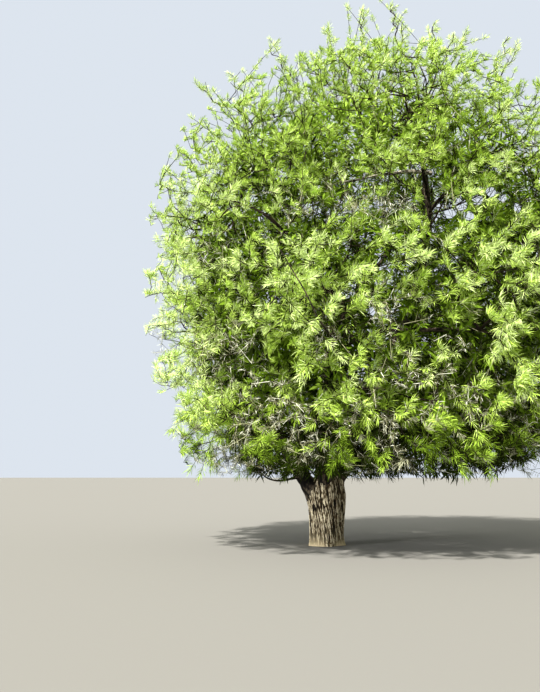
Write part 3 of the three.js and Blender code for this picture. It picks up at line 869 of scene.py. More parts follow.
def make_surround():
    """A pale sky that the eye sees a little bluer and brighter than it lights the tree."""
    world = bpy.data.worlds.new("surround")
    world.use_nodes = True
    nodes, links = world.node_tree.nodes, world.node_tree.links
    glow = nodes["Background"]
    tint = nodes.new("ShaderNodeMix")
    tint.data_type = "RGBA"
    tint.inputs["A"].default_value = SURROUND["lit_tint"]
    tint.inputs["B"].default_value = SURROUND["seen_tint"]
    rays = nodes.new("ShaderNodeLightPath")
    level = nodes.new("ShaderNodeMapRange")
    level.inputs["To Min"].default_value = SURROUND["lit"]
    level.inputs["To Max"].default_value = SURROUND["seen"]
    links.new(rays.outputs["Is Camera Ray"], level.inputs["Value"])
    links.new(level.outputs["Result"], glow.inputs["Strength"])
    links.new(rays.outputs["Is Camera Ray"], tint.inputs["Factor"])
    links.new(tint.outputs["Result"], glow.inputs["Color"])
    bpy.context.scene.world = world


def make_studio():
    """A pale floor, a high sun from the upper left of the front, a soft fill from the left, and the sky."""
    make_floor()
    hang_sun("sun", SUN)
    hang_sun("fill", FILL)
    make_surround()
    bpy.context.scene.view_settings.view_transform = "Standard"


# Bark of the trunk: the sides and rings of its mesh, the rings and the rise of its top, the coarse and the
# fine furrows, how wide and how bent they are, and the worn patches near its foot
TRUNK_SIDES = 320
TRUNK_RINGS = 150
DOME_RINGS = 14
DOME_RISE = 0.45
FURROWS = dict(
    cells=72, tall=560, depth=22, level=0.75, fine_cells=110, fine_tall=150, fine_depth=9, fine_level=0.6,
    full_from=200, twist=0.00042, sway=0.06, sway_tall=210,
)
FURROW_WIDTH = 0.19
FURROW_BEND = 0.35
BEND_QUICKNESS = 1.7
NOISE_ROWS = 97
WORN = dict(fall=110, around=9, tall=160, contrast=1.6, less=0.2, smoothing=0.6)

# Bark of the limbs: rings and sides of the mesh, its furrows, and how far the heart sways, by slow and quick
# waves each way; how the furrows turn and the tip is rounded; the fillets' reach, in millimetres and in foot
# radii, and how far along a limb they go; and over which heights the trunk's begin
LIMB = dict(rings=150, sides=40, cells=13, tall=380, depth=0.075, sway=26, seed=40)
SIDE_BOUGH = dict(rings=54, sides=14, cells=8, tall=300, depth=0.07, sway=22, seed=60)
INNER_BOUGH = dict(rings=50, sides=12, cells=8, tall=300, depth=0.07, sway=22, seed=90)
WAVES = ((330, 140), (370, 155))
LIMB_TWIST = 0.0003
LIMB_FURROW_LEVEL = 0.7
SWAY_FADE = 0.7
TIP_ROUNDING = dict(onward=0.4, inward=0.5)
FILLET = 130.0
FILLET_IN_RADII = 1.3
FILLET_RUN = 2200
FILLET_RISE = (300, 500)


def lattice_noise(u, v, around, seed):
    """Value noise that closes on itself: random heights at `around` places to a turn of u and at whole v,
    blended by 3x^2 - 2x^3 both ways."""
    heights = np.random.default_rng(seed).random((around, NOISE_ROWS))
    across = u * around
    i, j = np.floor(across).astype(int), np.floor(v).astype(int)
    x, y = smooth(across - i), smooth(v - j)
    left, right = i % around, (i + 1) % around
    row, next_row = j % NOISE_ROWS, (j + 1) % NOISE_ROWS
    low = heights[left, row] * (1 - x) + heights[right, row] * x
    high = heights[left, next_row] * (1 - x) + heights[right, next_row] * x
    return low * (1 - y) + high * y


def furrows(u, v, around, seed):
    """0 in a furrow and 1 on a ridge: furrows run where stretched, bent noise passes its middle height."""
    bend = FURROW_BEND / around * (lattice_noise(u, v * BEND_QUICKNESS, around, seed + 1) - 0.5)
    apart = np.abs(lattice_noise(u + bend, v, around, seed) - 0.5)
    return smooth(apart / FURROW_WIDTH)


def trunk_radius(height, angle):
    """The solids' trunk: a waist, a shoulder, a flare exp(-height/fall) with flutes, and a closing top."""
    foot = np.exp(-height / TRUNK["flare_fall"])
    level = TRUNK["waist"] + (TRUNK["foot"] - TRUNK["waist"]) * foot
    level = level + (TRUNK["shoulder"] - TRUNK["waist"]) * smooth(height / TRUNK["shoulder_height"])
    flutes = sum(share * np.cos(number * angle + turn) for share, number, turn in FLUTES)
    above = smooth((height - TRUNK["shoulder_height"]) / (TRUNK["height"] - TRUNK["shoulder_height"]))
    return level * (1 + (FLUTE_DEPTH + FLUTE_AT_FOOT * foot) * flutes) * np.sqrt(1 - TRUNK_CLOSING * above)


def trunk_gap(points):
    """How far points lie outside the trunk: sideways below its top, and from its top's rim above it."""
    height = np.clip(points[..., 2], 0, TRUNK["height"])
    x = points[..., 0] - TRUNK_LEAN * height / TRUNK["height"]
    aside = np.hypot(x, points[..., 1]) - trunk_radius(height, np.arctan2(points[..., 1], x))
    over = points[..., 2] - TRUNK["height"]
    return np.where(over > 0, np.hypot(np.maximum(aside, 0), np.maximum(over, 0)), aside)


def limb_gap(points, limb, until=0.5, places=40):
    """How far points lie outside a limb, by the nearest of some places along it up to a share."""
    shares = np.linspace(0, until, places)
    flat = points.reshape(-1, 3)
    gaps = np.full(len(flat), np.inf)
    for at, radius in zip(bezier(limb.controls, shares), limb.radius(shares)):
        gaps = np.minimum(gaps, np.linalg.norm(flat - at, axis=-1) - radius)
    return gaps.reshape(points.shape[:-1])


def fillet(gap, reach):
    """The swelling where two round pieces meet: (reach - gap)^2 / (4 reach), and nothing past the reach."""
    return np.maximum(reach - np.maximum(gap, 0), 0) ** 2 / (4 * reach)


def closed_tube(rings):
    """Points and faces of a tube from its rings, each end closed by a fan to the middle of its last ring."""
    count, sides = rings.shape[:2]
    points = np.concatenate([rings.reshape(-1, 3), rings[0].mean(0)[None], rings[-1].mean(0)[None]])
    j = np.arange(sides)
    k = (j + 1) % sides
    row = sides * np.arange(count - 1)[:, None]
    quads = np.stack([row + j, row + k, row + sides + k, row + sides + j], -1).reshape(-1, 4)
    last = sides * (count - 1)
    foot_fan = np.stack([k, j, np.full(sides, count * sides)], -1)
    top_fan = np.stack([last + j, last + k, np.full(sides, count * sides + 1)], -1)
    faces = np.concatenate([quads.ravel(), foot_fan.ravel(), top_fan.ravel()])
    sizes = np.concatenate([np.full(len(quads), 4), np.full(2 * sides, 3)])
    return points, faces, sizes


def trunk_rings():
    """Rings up the trunk and over its top: trunk radius + furrows + fillets at height h and angle a,
    with the furrows turning a little round the trunk as they rise."""
    heights = TRUNK["height"] * np.linspace(0, 1, TRUNK_RINGS)
    climb = 0.5 * np.pi * np.arange(1, DOME_RINGS) / DOME_RINGS
    angle = 2 * np.pi * np.arange(TRUNK_SIDES) / TRUNK_SIDES
    h, a = np.meshgrid(heights, angle, indexing="ij")
    radius = trunk_radius(h, a)
    dome = radius[-1] * np.cos(climb)[:, None]
    lift = radius[-1].mean() * DOME_RISE * np.sin(climb)[:, None]
    h = np.concatenate([h, TRUNK["height"] + lift + 0 * dome])
    a = np.concatenate([a, np.tile(angle, (DOME_RINGS - 1, 1))])
    radius = np.concatenate([radius, dome])
    level = np.minimum(h, TRUNK["height"])
    sway = FURROWS["sway"] * np.sin(level / FURROWS["sway_tall"] + 2 * a)
    turn = (a + FURROWS["twist"] * level + sway) / (2 * np.pi)
    main = furrows(turn, 3 + level / FURROWS["tall"], FURROWS["cells"], 5)
    fine = furrows(turn, 3 + level / FURROWS["fine_tall"], FURROWS["fine_cells"], 11)
    relief = 0.5 * main + 0.5 * main * fine
    patches = lattice_noise(turn, level / WORN["tall"], WORN["around"], 21)
    worn = np.exp(-level / WORN["fall"]) * smooth(WORN["contrast"] * patches - WORN["less"])
    x = TRUNK_LEAN * level / TRUNK["height"]
    smooth_points = np.stack([x + radius * np.cos(a), radius * np.sin(a), h], -1)
    swell = np.zeros(h.shape)
    for limb in limbs[: len(LIMBS)]:
        swell = np.maximum(swell, fillet(limb_gap(smooth_points, limb), FILLET))
    swell *= rise(h, *FILLET_RISE)
    rough = FURROWS["depth"] * (main - FURROWS["level"])
    rough = rough + FURROWS["fine_depth"] * (fine - FURROWS["fine_level"])
    shrink = np.minimum(1, radius / FURROWS["full_from"])
    radius = radius + swell + rough * shrink * (1 - WORN["smoothing"] * worn)
    rings = np.stack([x + radius * np.cos(a), radius * np.sin(a), h], -1)
    return rings, relief, worn


def sway_by(run, fade, slow, quick, phases):
    """fade sin(run/slow + p) + 0.4 fade sin(run/quick + q), for each place along a limb."""
    return (fade * np.sin(run / slow + phases[0]) + 0.4 * fade * np.sin(run / quick + phases[1]))[:, None]


def limb_rings(limb, index, rule, others):
    """Rings along a limb from its start to a rounded tip: radius + furrows + fillets, on a heart that sways
    a little from the smooth curve, by waves that fade at both ends. With their ridges, and nothing worn."""
    seed, sides = rule["seed"] + index, rule["sides"]
    share = np.linspace(0, 1, rule["rings"])
    heart = bezier(limb.controls, share)
    along = heading_of(limb.controls, share)
    flat = limb.controls[3] - limb.controls[0]
    level = unit(np.array([-flat[1], flat[0], 0.0]))
    side = unit(level - along * (along @ level)[:, None])
    other = np.cross(along, side)
    run = np.concatenate([[0], np.cumsum(np.linalg.norm(np.diff(heart, axis=0), axis=-1))])
    rng = np.random.default_rng(seed)
    phase = rng.uniform(0, 6.28, 4)
    fade = rule["sway"] * np.sin(np.pi * share) ** SWAY_FADE
    heart = heart + side * sway_by(run, fade, *WAVES[0], phase[:2])
    heart = heart + other * sway_by(run, fade, *WAVES[1], phase[2:])
    angle = 2 * np.pi * np.arange(sides) / sides
    radius = limb.radius(share)[:, None] * (1 + 0 * angle[None])
    out = side[:, None] * np.cos(angle)[None, :, None] + other[:, None] * np.sin(angle)[None, :, None]
    skin = heart[:, None] + out * radius[..., None]
    swell = np.zeros(radius.shape)
    near = run < FILLET_RUN
    reach = min(FILLET, FILLET_IN_RADII * limb.radii[0])
    for gap_to in others:
        swell[near] = np.maximum(swell[near], fillet(gap_to(skin[near]), reach))
    turn = angle[None] / (2 * np.pi) + LIMB_TWIST * run[:, None]
    relief = furrows(turn, 5 + run[:, None] / rule["tall"], rule["cells"], seed)
    radius = radius * (1 + rule["depth"] * 2 * (relief - LIMB_FURROW_LEVEL)) + swell
    rings = heart[:, None] + out * radius[..., None]
    onward = along[-1] * limb.radii[1] * TIP_ROUNDING["onward"]
    tip = rings[-1:] + onward - out[-1:] * (radius[-1:] * TIP_ROUNDING["inward"])[..., None]
    relief = np.concatenate([relief, relief[-1:]])
    return np.concatenate([rings, tip]), relief, 0 * relief


def add_node(nodes, kind, **values):
    """A node of the kind, with the values of the sockets that are named."""
    node = nodes.new(f"ShaderNode{kind}")
    for socket, value in values.items():
        node.inputs[socket].default_value = value
    return node


def mix_node(nodes, blend, factor=0.5):
    """A mix of two colours, A and B."""
    node = nodes.new("ShaderNodeMix")
    node.data_type = "RGBA"
    node.blend_type = blend
    node.inputs["Factor"].default_value = factor
    return node


def ramp_node(nodes, *stops):
    """A ramp through its stops: each a place from 0 to 1 and a colour, the two ends first."""
    node = nodes.new("ShaderNodeValToRGB")
    for element, (position, colour) in zip(node.color_ramp.elements, stops):
        element.position = position
        element.color = colour
    for position, colour in stops[2:]:
        node.color_ramp.elements.new(position).color = colour
    return node


def value_of(nodes, attribute):
    """The number that the mesh keeps at each point under the attribute's name."""
    node = nodes.new("ShaderNodeAttribute")
    node.attribute_name = attribute
    return node


def bark_material(name, dark, middle, pale, worn, grain):
    """Colour by the furrows' own depth, darkest in them as painted shade and lightest on the ridges as
    painted light, dimmed in patches by slow noise as painted dappled shade, with a fibrous fine relief along
    the wood.
    """
    material = bpy.data.materials.new(name)
    material.use_nodes = True
    nodes, links = material.node_tree.nodes, material.node_tree.links
    shader = nodes["Principled BSDF"]
    shader.inputs["Roughness"].default_value = 0.92
    shader.inputs["Specular IOR Level"].default_value = 0.2
    depth = value_of(nodes, "ridge")
    foot = value_of(nodes, "worn")
    # Painted shade and light: from the dark colour in the furrows to the pale one on the ridges, shifted by
    # the grain.
    ramp = ramp_node(nodes, (0.12, linear(*dark)), (1.0, linear(*pale)), (0.6, linear(*middle)))
    # Painted dappled shade: slow noise dims the bark in patches.
    shades = ramp_node(nodes, (0.35, (0.5, 0.48, 0.46, 1)), (0.62, (1.0, 1.0, 1.0, 1)))
    place = nodes.new("ShaderNodeTexCoord")
    stretch = add_node(nodes, "Mapping", Scale=grain)
    fibre = add_node(nodes, "TexNoise", Scale=1.0, Detail=5.0, Roughness=0.65)
    mottle = add_node(nodes, "TexNoise", Scale=5.0, Detail=3.0)
    shift = nodes.new("ShaderNodeMath")
    shift.operation = "MULTIPLY_ADD"
    shift.inputs[1].default_value = 2.8
    shift.inputs[2].default_value = -1.52
    total = nodes.new("ShaderNodeMath")
    total.operation = "ADD"
    tint = mix_node(nodes, "MIX")
    tint.inputs["B"].default_value = linear(*worn)
    dapple = mix_node(nodes, "MULTIPLY", 0.55)
    bump = add_node(nodes, "Bump", Strength=0.7, Distance=0.012)
    for output, socket in (
        (place.outputs["Object"], stretch.inputs["Vector"]),
        (stretch.outputs["Vector"], fibre.inputs["Vector"]),
        (place.outputs["Object"], mottle.inputs["Vector"]),
        (fibre.outputs["Fac"], shift.inputs[0]),
        (depth.outputs["Fac"], total.inputs[0]),
        (shift.outputs["Value"], total.inputs[1]),
        (total.outputs["Value"], ramp.inputs["Fac"]),
        (foot.outputs["Fac"], tint.inputs["Factor"]),
        (ramp.outputs["Color"], tint.inputs["A"]),
        (mottle.outputs["Fac"], shades.inputs["Fac"]),
        (tint.outputs["Result"], dapple.inputs["A"]),
        (shades.outputs["Color"], dapple.inputs["B"]),
        (dapple.outputs["Result"], shader.inputs["Base Color"]),
        (fibre.outputs["Fac"], bump.inputs["Height"]),
        (bump.outputs["Normal"], shader.inputs["Normal"]),
    ):
        links.new(output, socket)
    return material


def joined(parts):
    """One set of arrays from several tubes: points, faces moved on by the points before, and sizes."""
    before = np.cumsum([0] + [len(points) for points, _, _ in parts[:-1]])
    points = np.concatenate([part[0] for part in parts])
    faces = np.concatenate([part[1] + first for part, first in zip(parts, before)])
    return points, faces, np.concatenate([part[2] for part in parts])


def bark_piece(name, several, material, nodes):
    """A piece of bark from rings with their ridge and worn values, which its material reads."""
    tubes = [closed_tube(rings) for rings, _, _ in several]
    piece = make_mesh(name, *joined(tubes), [material], True)
    for attribute, which in (("ridge", 1), ("worn", 2)):
        values = [(part[which].ravel(), part[which][0, :1], part[which][-1, :1]) for part in several]
        made = piece.data.attributes.new(attribute, "FLOAT", "POINT")
        flat = np.concatenate([np.concatenate(value) for value in values])
        made.data.foreach_set("value", flat.astype(np.float32))
    seat(piece, nodes)


def gap_to_limb(limb, until=0.5, places=40):
    """The function that tells how far points lie outside the limb."""
    return lambda points: limb_gap(points, limb, until, places)


# Each bark's colours in the furrows, between, on the ridges and where it is worn, and the noise's scale. In
# each the furrows' colour is painted shade and the ridges' painted light; the limbs' bark is also dark all
# over as painted shade, and the inner boughs' pale all over as painted sunlight.
BARKS = dict(
    trunk_bark=((14, 10, 6), (104, 87, 61), (244, 232, 200), (228, 210, 170), (44, 44, 8)),
    limb_bark_painted_shade=((16, 13, 11), (44, 37, 30), (92, 82, 68), (92, 82, 68), (30, 30, 12)),
    pale_bark_painted_sunlight=((58, 53, 45), (150, 143, 128), (224, 217, 200), (224, 217, 200), (30, 30, 12)),
)


def dress_wood():
    """The trunk, its main limbs, the side boughs and the inner boughs in their bark: the limbs, the side
    boughs and the two arms in a bark dark as painted shade, the other inner boughs in one pale as painted
    sunlight.
    """
    barks = {name: bark_material(name, *colours) for name, colours in BARKS.items()}
    main, side = limbs[: len(LIMBS)], limbs[len(LIMBS) :]
    bark_piece("trunk_bark", [trunk_rings()], barks["trunk_bark"], ["trunk"])
    made = []
    for i, limb in enumerate(main):
        others = [trunk_gap] + [gap_to_limb(one) for one in main if one is not limb]
        made.append(limb_rings(limb, i, LIMB, others))
    bark_piece("limb_bark_painted_shade", made, barks["limb_bark_painted_shade"], [limb.name for limb in main])
    made = []
    for i, limb in enumerate(side):
        made.append(limb_rings(limb, i, SIDE_BOUGH, [gap_to_limb(limb.parent, 1, 60)]))
    pale = []
    for i, limb in enumerate(inner):
        (made if "arm" in limb.name else pale).append(limb_rings(limb, i, INNER_BOUGH, []))
    bark_piece("bough_bark", made, barks["limb_bark_painted_shade"], [limb.name for limb in side])
    bark_piece("inner_bark", pale, barks["pale_bark_painted_sunlight"], every_mass())


def every_mass():
    """The names of all the masses' solids."""
    return [f"{mass['name']}_foliage" for mass in masses]


# Twigs: their three edges, the radius under which they are straight, how far a bent one bows, and how many
# times its end's radius a twig's foot has at most
CORNERS = 2 * np.pi * np.arange(3) / 3
THIN = 9.0
TWIG_BOW = 0.22
TWIG_TAPER = 1.5


def square_to(along):
    """Two unit arrows that are square to each arrow and to each other."""
    side = unit(np.cross(along, np.where(np.abs(along[:, 2:]) < 0.9, UP, np.array([1.0, 0, 0]))))
    return side, np.cross(along, side)


def corner_arrows(along):
    """The three arrows from a twig's heart to its edges: side cos + other sin of each third of a turn."""
    side, other = square_to(along)
    return side[:, None] * np.cos(CORNERS)[None, :, None] + other[:, None] * np.sin(CORNERS)[None, :, None]


def straight_links(start, end, r0, r1):
    """Straight three-sided twigs, each closed at both ends: 5 faces from 6 points."""
    ring = corner_arrows(unit(end - start))
    foot = start[:, None] + ring * r0[:, None, None]
    top = end[:, None] + ring * r1[:, None, None]
    points = np.stack([foot, top], 1)
    pattern = np.array([0, 1, 4, 3, 1, 2, 5, 4, 2, 0, 3, 5, 2, 1, 0, 3, 4, 5])
    faces = pattern[None] + 6 * np.arange(len(start))[:, None]
    return points.reshape(-1, 3), faces.ravel(), np.tile([4, 4, 4, 3, 3], len(start))


def link_tubes(start, end, lean, r0, r1):
    """Bent three-sided twigs: rings at shares 0, 1/2 and 1 of the curve from start to end that sets off
    along lean, with radii between r0 and r1. Gives points and faces of all of them together."""
    way = end - start
    length = np.linalg.norm(way, axis=-1, keepdims=True)
    bend = start + way * 0.5 + (lean - unit(way)) * TWIG_BOW * length
    ring = corner_arrows(unit(way))
    rings = []
    for at, radius in ((start, r0), ((start + end) / 4 + bend / 2, (r0 + r1) / 2), (end, r1)):
        rings.append(at[:, None] + ring * radius[:, None, None])
    points = np.stack(rings, 1).reshape(-1, 3)
    i = np.arange(3)
    j = (i + 1) % 3
    quads = [np.stack([low + i, low + j, low + 3 + j, low + 3 + i], -1).ravel() for low in (0, 3)]
    pattern = np.concatenate([*quads, [2, 1, 0], [6, 7, 8]])
    faces = pattern[None] + 9 * np.arange(len(start))[:, None]
    sizes = np.tile([4] * 6 + [3, 3], len(start))
    return points, faces.ravel(), sizes


def twig_radii(growth, stem):
    """Thickness from the tips down: each node's r^p is the sum of its children's, the stem's at most."""
    n = growth.count
    power = np.full(n, 0.0)
    least = np.where(growth.glow[:n] == SHOOT["glow"], SHOOT["thick"], FINE["tip"]) ** FINE["pipe"]
    for i in range(n - 1, 0, -1):
        power[i] = max(power[i], least[i])
        power[growth.back[i]] += power[i]
    radii = power ** (1 / FINE["pipe"])
    top = radii[0]
    if top > stem:
        radii = FINE["tip"] + (radii - FINE["tip"]) * (stem - FINE["tip"]) / (top - FINE["tip"])
    return radii


# Leaf tufts: a blade's shape and its lie about the twig, low and high in the crown, and how the wind lays a
# tuft. Then the broad blades of the heart, dark as painted shade inside the crown: where they stand, their
# shape, and how dark they are.
TUFT = dict(
    most=98000, low_long=160, high_long=92, high=(2500, 6500), sizes=(0.8, 1.2), vary=0.4, wide=10,
    widening=0.3, sag=0.25, sags=(0.5, 1.3), bent=0.55, reach=1.2, cone=(5, 62), steepening=0.7, turns=3,
    turn_off=0.5, roll=1.3, stray=0.3, onward=0.35, bare_high=0.12, windy=(2200, 1500), blown=0.35,
    lifted=0.2, past=230, lowest=60,
)
SHADE = dict(
    inner=0.34, outer=0.80, sunken=0.14, sunk=(7500, 2500), long=208, vary=(0.7, 1.2), wide=48, narrower=15,
    narrow=(5600, 1500), foot_wide=0.6, foot_more=0.4, foot=(1500, 1200), blades=11, bare_from=6000,
    darkest_to=2500, mixed_to=3200, mixed=0.5, even_to=6800, lighter_from=8000, lightest_from=9600,
)
GOLDEN = math.pi * (3 - math.sqrt(5))


def tuft_blades(at, back, along, size, rng, blades, wide):
    """Brushes of narrow blades. Blade k leaves the last stretch of the twig, from its end back, at a
    golden-angle turn, the steeper off the twig the further back, runs straight for a share of its length,
    and its tip sags."""
    n = len(at)
    k = np.arange(blades)[None] + rng.uniform(0, 1, (n, 1))
    share = (np.arange(blades)[None] + rng.uniform(0, 1, (n, blades))) / blades
    turn = GOLDEN * k * TUFT["turns"] + rng.uniform(-TUFT["turn_off"], TUFT["turn_off"], (n, blades))
    least, most = TUFT["cone"]
    steep = np.radians(least + (most - least) * share ** TUFT["steepening"])
    side, other = square_to(along)
    out = side[:, None] * np.cos(turn)[..., None] + other[:, None] * np.sin(turn)[..., None]
    lay = unit(along[:, None] * np.cos(steep)[..., None] + out * np.sin(steep)[..., None])
    length = size[:, None] * (1 + TUFT["vary"] * rng.uniform(-1, 1, (n, blades)))
    stretch = back - at
    stretch *= np.minimum(1, TUFT["reach"] * size / np.linalg.norm(stretch, axis=-1))[:, None]
    root = at[:, None] + stretch[:, None] * share[..., None]
    middle = root + lay * (TUFT["bent"] * length)[..., None]
    droop = unit(lay - UP * (TUFT["sag"] * rng.uniform(*TUFT["sags"], (n, blades)))[..., None])
    tip = middle + droop * ((1 - TUFT["bent"]) * length)[..., None]
    level = unit(np.cross(lay, UP) + 1e-6)
    face = np.cross(level, lay)
    roll = rng.uniform(-TUFT["roll"], TUFT["roll"], (n, blades))[..., None]
    edge = level * np.cos(roll) + face * np.sin(roll)
    half = 0.5 * wide * (length / TUFT["low_long"])[..., None] ** TUFT["widening"]
    return np.stack([root, middle - edge * half, middle + edge * half, tip], 2)


def leaf_piece(name, blades, classes, materials, nodes):
    """Blades as one piece: two faces each, from the root to the widest line and from there to the tip. Those
    that would stand in the gaps or before the windows are left out."""
    clear = ~(open_view(blades[:, 3]) | open_view(blades[:, 1]))
    blades, classes = blades[clear], classes[clear]
    faces = (np.array([0, 2, 1, 1, 2, 3])[None] + 4 * np.arange(len(blades))[:, None]).ravel()
    sizes = np.full(2 * len(blades), 3)
    piece = make_mesh(name, blades.reshape(-1, 3), faces, sizes, materials, False, np.repeat(classes, 2))
    seat(piece, nodes)


# Leaf and twig colours: the screen levels, the roughness and the gloss of each. The leaf greens, all but the
# dry
# one, are one green under painted light: the palest is painted sunlight and highlight, and they step down to
# the darkest, which is painted shade.
GREENS = [
    plain_material("leaf_sunlit_highlight", linear(201, 220, 144), 0.5, 0.25),
    plain_material("leaf_bright", linear(175, 203, 88), 0.55, 0.2),
    plain_material("leaf_mid", linear(145, 176, 56), 0.6, 0.15),
    plain_material("leaf_deep", linear(100, 128, 27), 0.7, 0.1),
    plain_material("leaf_shade", linear(38, 52, 6), 0.8, 0.05),
    plain_material("leaf_dry", linear(164, 166, 134), 0.7),
]
SUNLIT, BRIGHT, MID, DEEP, DARK, WITHERED = range(6)
TWIG_BARK = plain_material("twig_bark", linear(36, 29, 22), 0.9, 0.1)
# The pale dead wood: its own pale grey, made paler still as painted sunlight.
DRY_BARK = [
    plain_material("dry_pale", linear(214, 216, 196), 0.8, 0.2),
    plain_material("dry_grey", linear(140, 140, 106), 0.8, 0.2),
    plain_material("dry_dark", linear(44, 40, 26), 0.8, 0.1),
]

# Each piece of leaves and twigs: how many blades a tuft has, and the masses that it stands for
REGIONS = dict(
    top=(44, ("crown_top", "upper_0", "upper_4")),
    upper=(42, ("upper_1", "upper_2", "upper_3")),
    middle_right=(36, ("middle_0", "middle_1", "middle_6", "middle_7")),
    middle_left=(36, ("middle_2", "middle_3", "middle_4", "middle_5")),
    skirt_right=(33, ("skirt_0", "skirt_1", "skirt_6", "skirt_7")),
    skirt_left=(33, ("skirt_2", "skirt_3", "skirt_4", "skirt_5")),
    hem_right=(32, ("hem_0", "hem_1", "hem_5", "fork_sprout")),
    hem_left=(32, ("hem_2", "hem_3", "hem_4")),
)

# How a blade's colour may differ from its tuft's: at random a step lighter or darker, a real spread of tone
# and painted highlights and shade among the blades. How far out a tuft lies for each green: the outer tufts
# get the lighter greens as painted sunlight, the inner ones the darker as painted shade. Chance, clumps and
# the plume's glow, itself painted sunlight, move it, and so does its height: in at the foot, as painted
# shade under the crown, and out in the middle and high up, as painted light.
SHIFTS = (-1, 0, 0, 0, 0, 1)
LEAST_OUT = ((DEEP, 0.60), (MID, 0.71), (BRIGHT, 0.83))
CLUMP = dict(x=150, y=163, z=138, bend=2, bend_z=410, slant_x=700, slant_y=380)
MOVED = dict(
    chance=0.03, clumps=0.025, glow=0.07, even_glow=0.3, foot=0.28, foot_end=(1400, 2000), high=0.05,
    high_start=(5000, 3000), middle=0.15, middle_start=(1900, 1300), middle_end=(6400, 1200),
)
SUNLIT_OUT = dict(low=1.06, less=0.11, high_start=(8800, 1800))
WITHERING = dict(share=0.06, highest=5200, most_out=0.88)


def deal_colours(at, glow, rng):
    """A shade for each tuft: the palest greens outermost, high and where its plume glows, as painted
    sunlight, deep ones inside and low as painted shade, in clumps about half a metre wide, and a few
    withered ones low inside."""
    x, y, z = at.T
    clump = np.sin(x / CLUMP["x"] + CLUMP["bend"] * np.sin(z / CLUMP["bend_z"]))
    clump = clump + np.sin(y / CLUMP["y"] + x / CLUMP["slant_x"])
    clump = clump + np.sin(z / CLUMP["z"] + y / CLUMP["slant_y"])
    out = outness(at) + MOVED["chance"] * rng.standard_normal(len(at)) + MOVED["clumps"] * clump
    out = out + MOVED["glow"] * (glow - MOVED["even_glow"])
    out = out - MOVED["foot"] * (1 - rise(z, *MOVED["foot_end"]))
    out = out + MOVED["high"] * rise(z, *MOVED["high_start"])
    out = out + MOVED["middle"] * rise(z, *MOVED["middle_start"]) * (1 - rise(z, *MOVED["middle_end"]))
    class_of = np.full(len(at), DARK)
    sunlit = SUNLIT_OUT["low"] - SUNLIT_OUT["less"] * rise(z, *SUNLIT_OUT["high_start"])
    for level, least in (*LEAST_OUT, (SUNLIT, sunlit)):
        class_of[out > least] = level
    low = (z < WITHERING["highest"]) & (out < WITHERING["most_out"])
    class_of[(rng.uniform(0, 1, len(at)) < WITHERING["share"]) & low] = WITHERED
    return class_of


def twigs_of(mass, growth):
    """Starts, ends, first directions and both radii of a mass's twigs, its stem last."""
    n = growth.count
    radii = twig_radii(growth, mass["radius"])
    back = growth.back[1:n]
    start = np.concatenate([growth.at[back], mass["foot"][None]])
    end = np.concatenate([growth.at[1:n], mass["root"][None]])
    lean = np.concatenate([growth.along[back], mass["into"][None]])
    thick = np.concatenate([np.minimum(radii[back], radii[1:n] * TWIG_TAPER), [mass["radius"]]])
    thin = np.concatenate([radii[1:n], [radii[0]]])
    return start, end, lean, thick, thin


def tufts_of(growth, rng):
    """Places, the nodes behind them, directions, sizes and glow of the leaf tufts, the glow being painted
    sunlight.
    They point by lean + 0.35 twig + stray + wind, so the upper ones blow downwind, and they are shorter
    there."""
    leafy = np.flatnonzero(growth.leafy[: growth.count] > 0)
    high = rise(growth.at[leafy, 2], *TUFT["high"])
    leafy = leafy[rng.uniform(0, 1, len(leafy)) > TUFT["bare_high"] * high]
    at = growth.at[leafy]
    stray = TUFT["stray"] * rng.standard_normal((len(at), 3))
    high = rise(at[:, 2], *TUFT["high"])
    blown = rise(at[:, 2:], *TUFT["windy"]) * (TUFT["blown"] * WIND + TUFT["lifted"] * UP)
    along = unit(growth.lean[leafy] + TUFT["onward"] * growth.along[leafy] + stray + blown)
    size = TUFT["low_long"] + (TUFT["high_long"] - TUFT["low_long"]) * high
    size = size * growth.leafy[leafy] * rng.uniform(*TUFT["sizes"], len(at))
    return at, growth.at[growth.back[leafy]], along, size, growth.glow[leafy]


def dress_region(region, most, names):
    """One piece of twigs and one of leaves for the masses that are named. The draws of the last mass's tufts
    go on into the region's blades."""
    twigs, tufts, nodes = [], [], []
    for i, (mass, growth) in enumerate(zip(masses, growths)):
        if mass["name"] in names:
            rng = np.random.default_rng(SEED + i)
            twigs.append(twigs_of(mass, growth))
            tufts.append(tufts_of(growth, rng))
            nodes.append(f"{mass['name']}_foliage")
    start, end, lean, thick, thin = (np.concatenate(part) for part in zip(*twigs))
    fine = thick < THIN
    bent = link_tubes(*[part[~fine] for part in (start, end, lean, thick, thin)])
    straight = straight_links(*[part[fine] for part in (start, end, thick, thin)])
    piece = make_mesh(f"twigs_{region}", *joined([bent, straight]), [TWIG_BARK], True)
    seat(piece, nodes)
    at, before, along, size, glow = (np.concatenate(part) for part in zip(*tufts))
    number = min(most, TUFT["most"] // len(at))
    blades = tuft_blades(at, before, along, size, rng, number, TUFT["wide"]).reshape(-1, 4, 3)
    classes = np.repeat(deal_colours(at, glow, rng), number)
    shifted = np.clip(classes + rng.choice(SHIFTS, len(classes)), SUNLIT, DARK)
    classes = np.where(classes < WITHERED, shifted, WITHERED)
    kept = in_box(blades, -TUFT["past"]).all(1) & (blades[..., 2].min(1) > TUFT["lowest"])
    leaf_piece(f"leaves_{region}", blades[kept], classes[kept], GREENS, nodes)


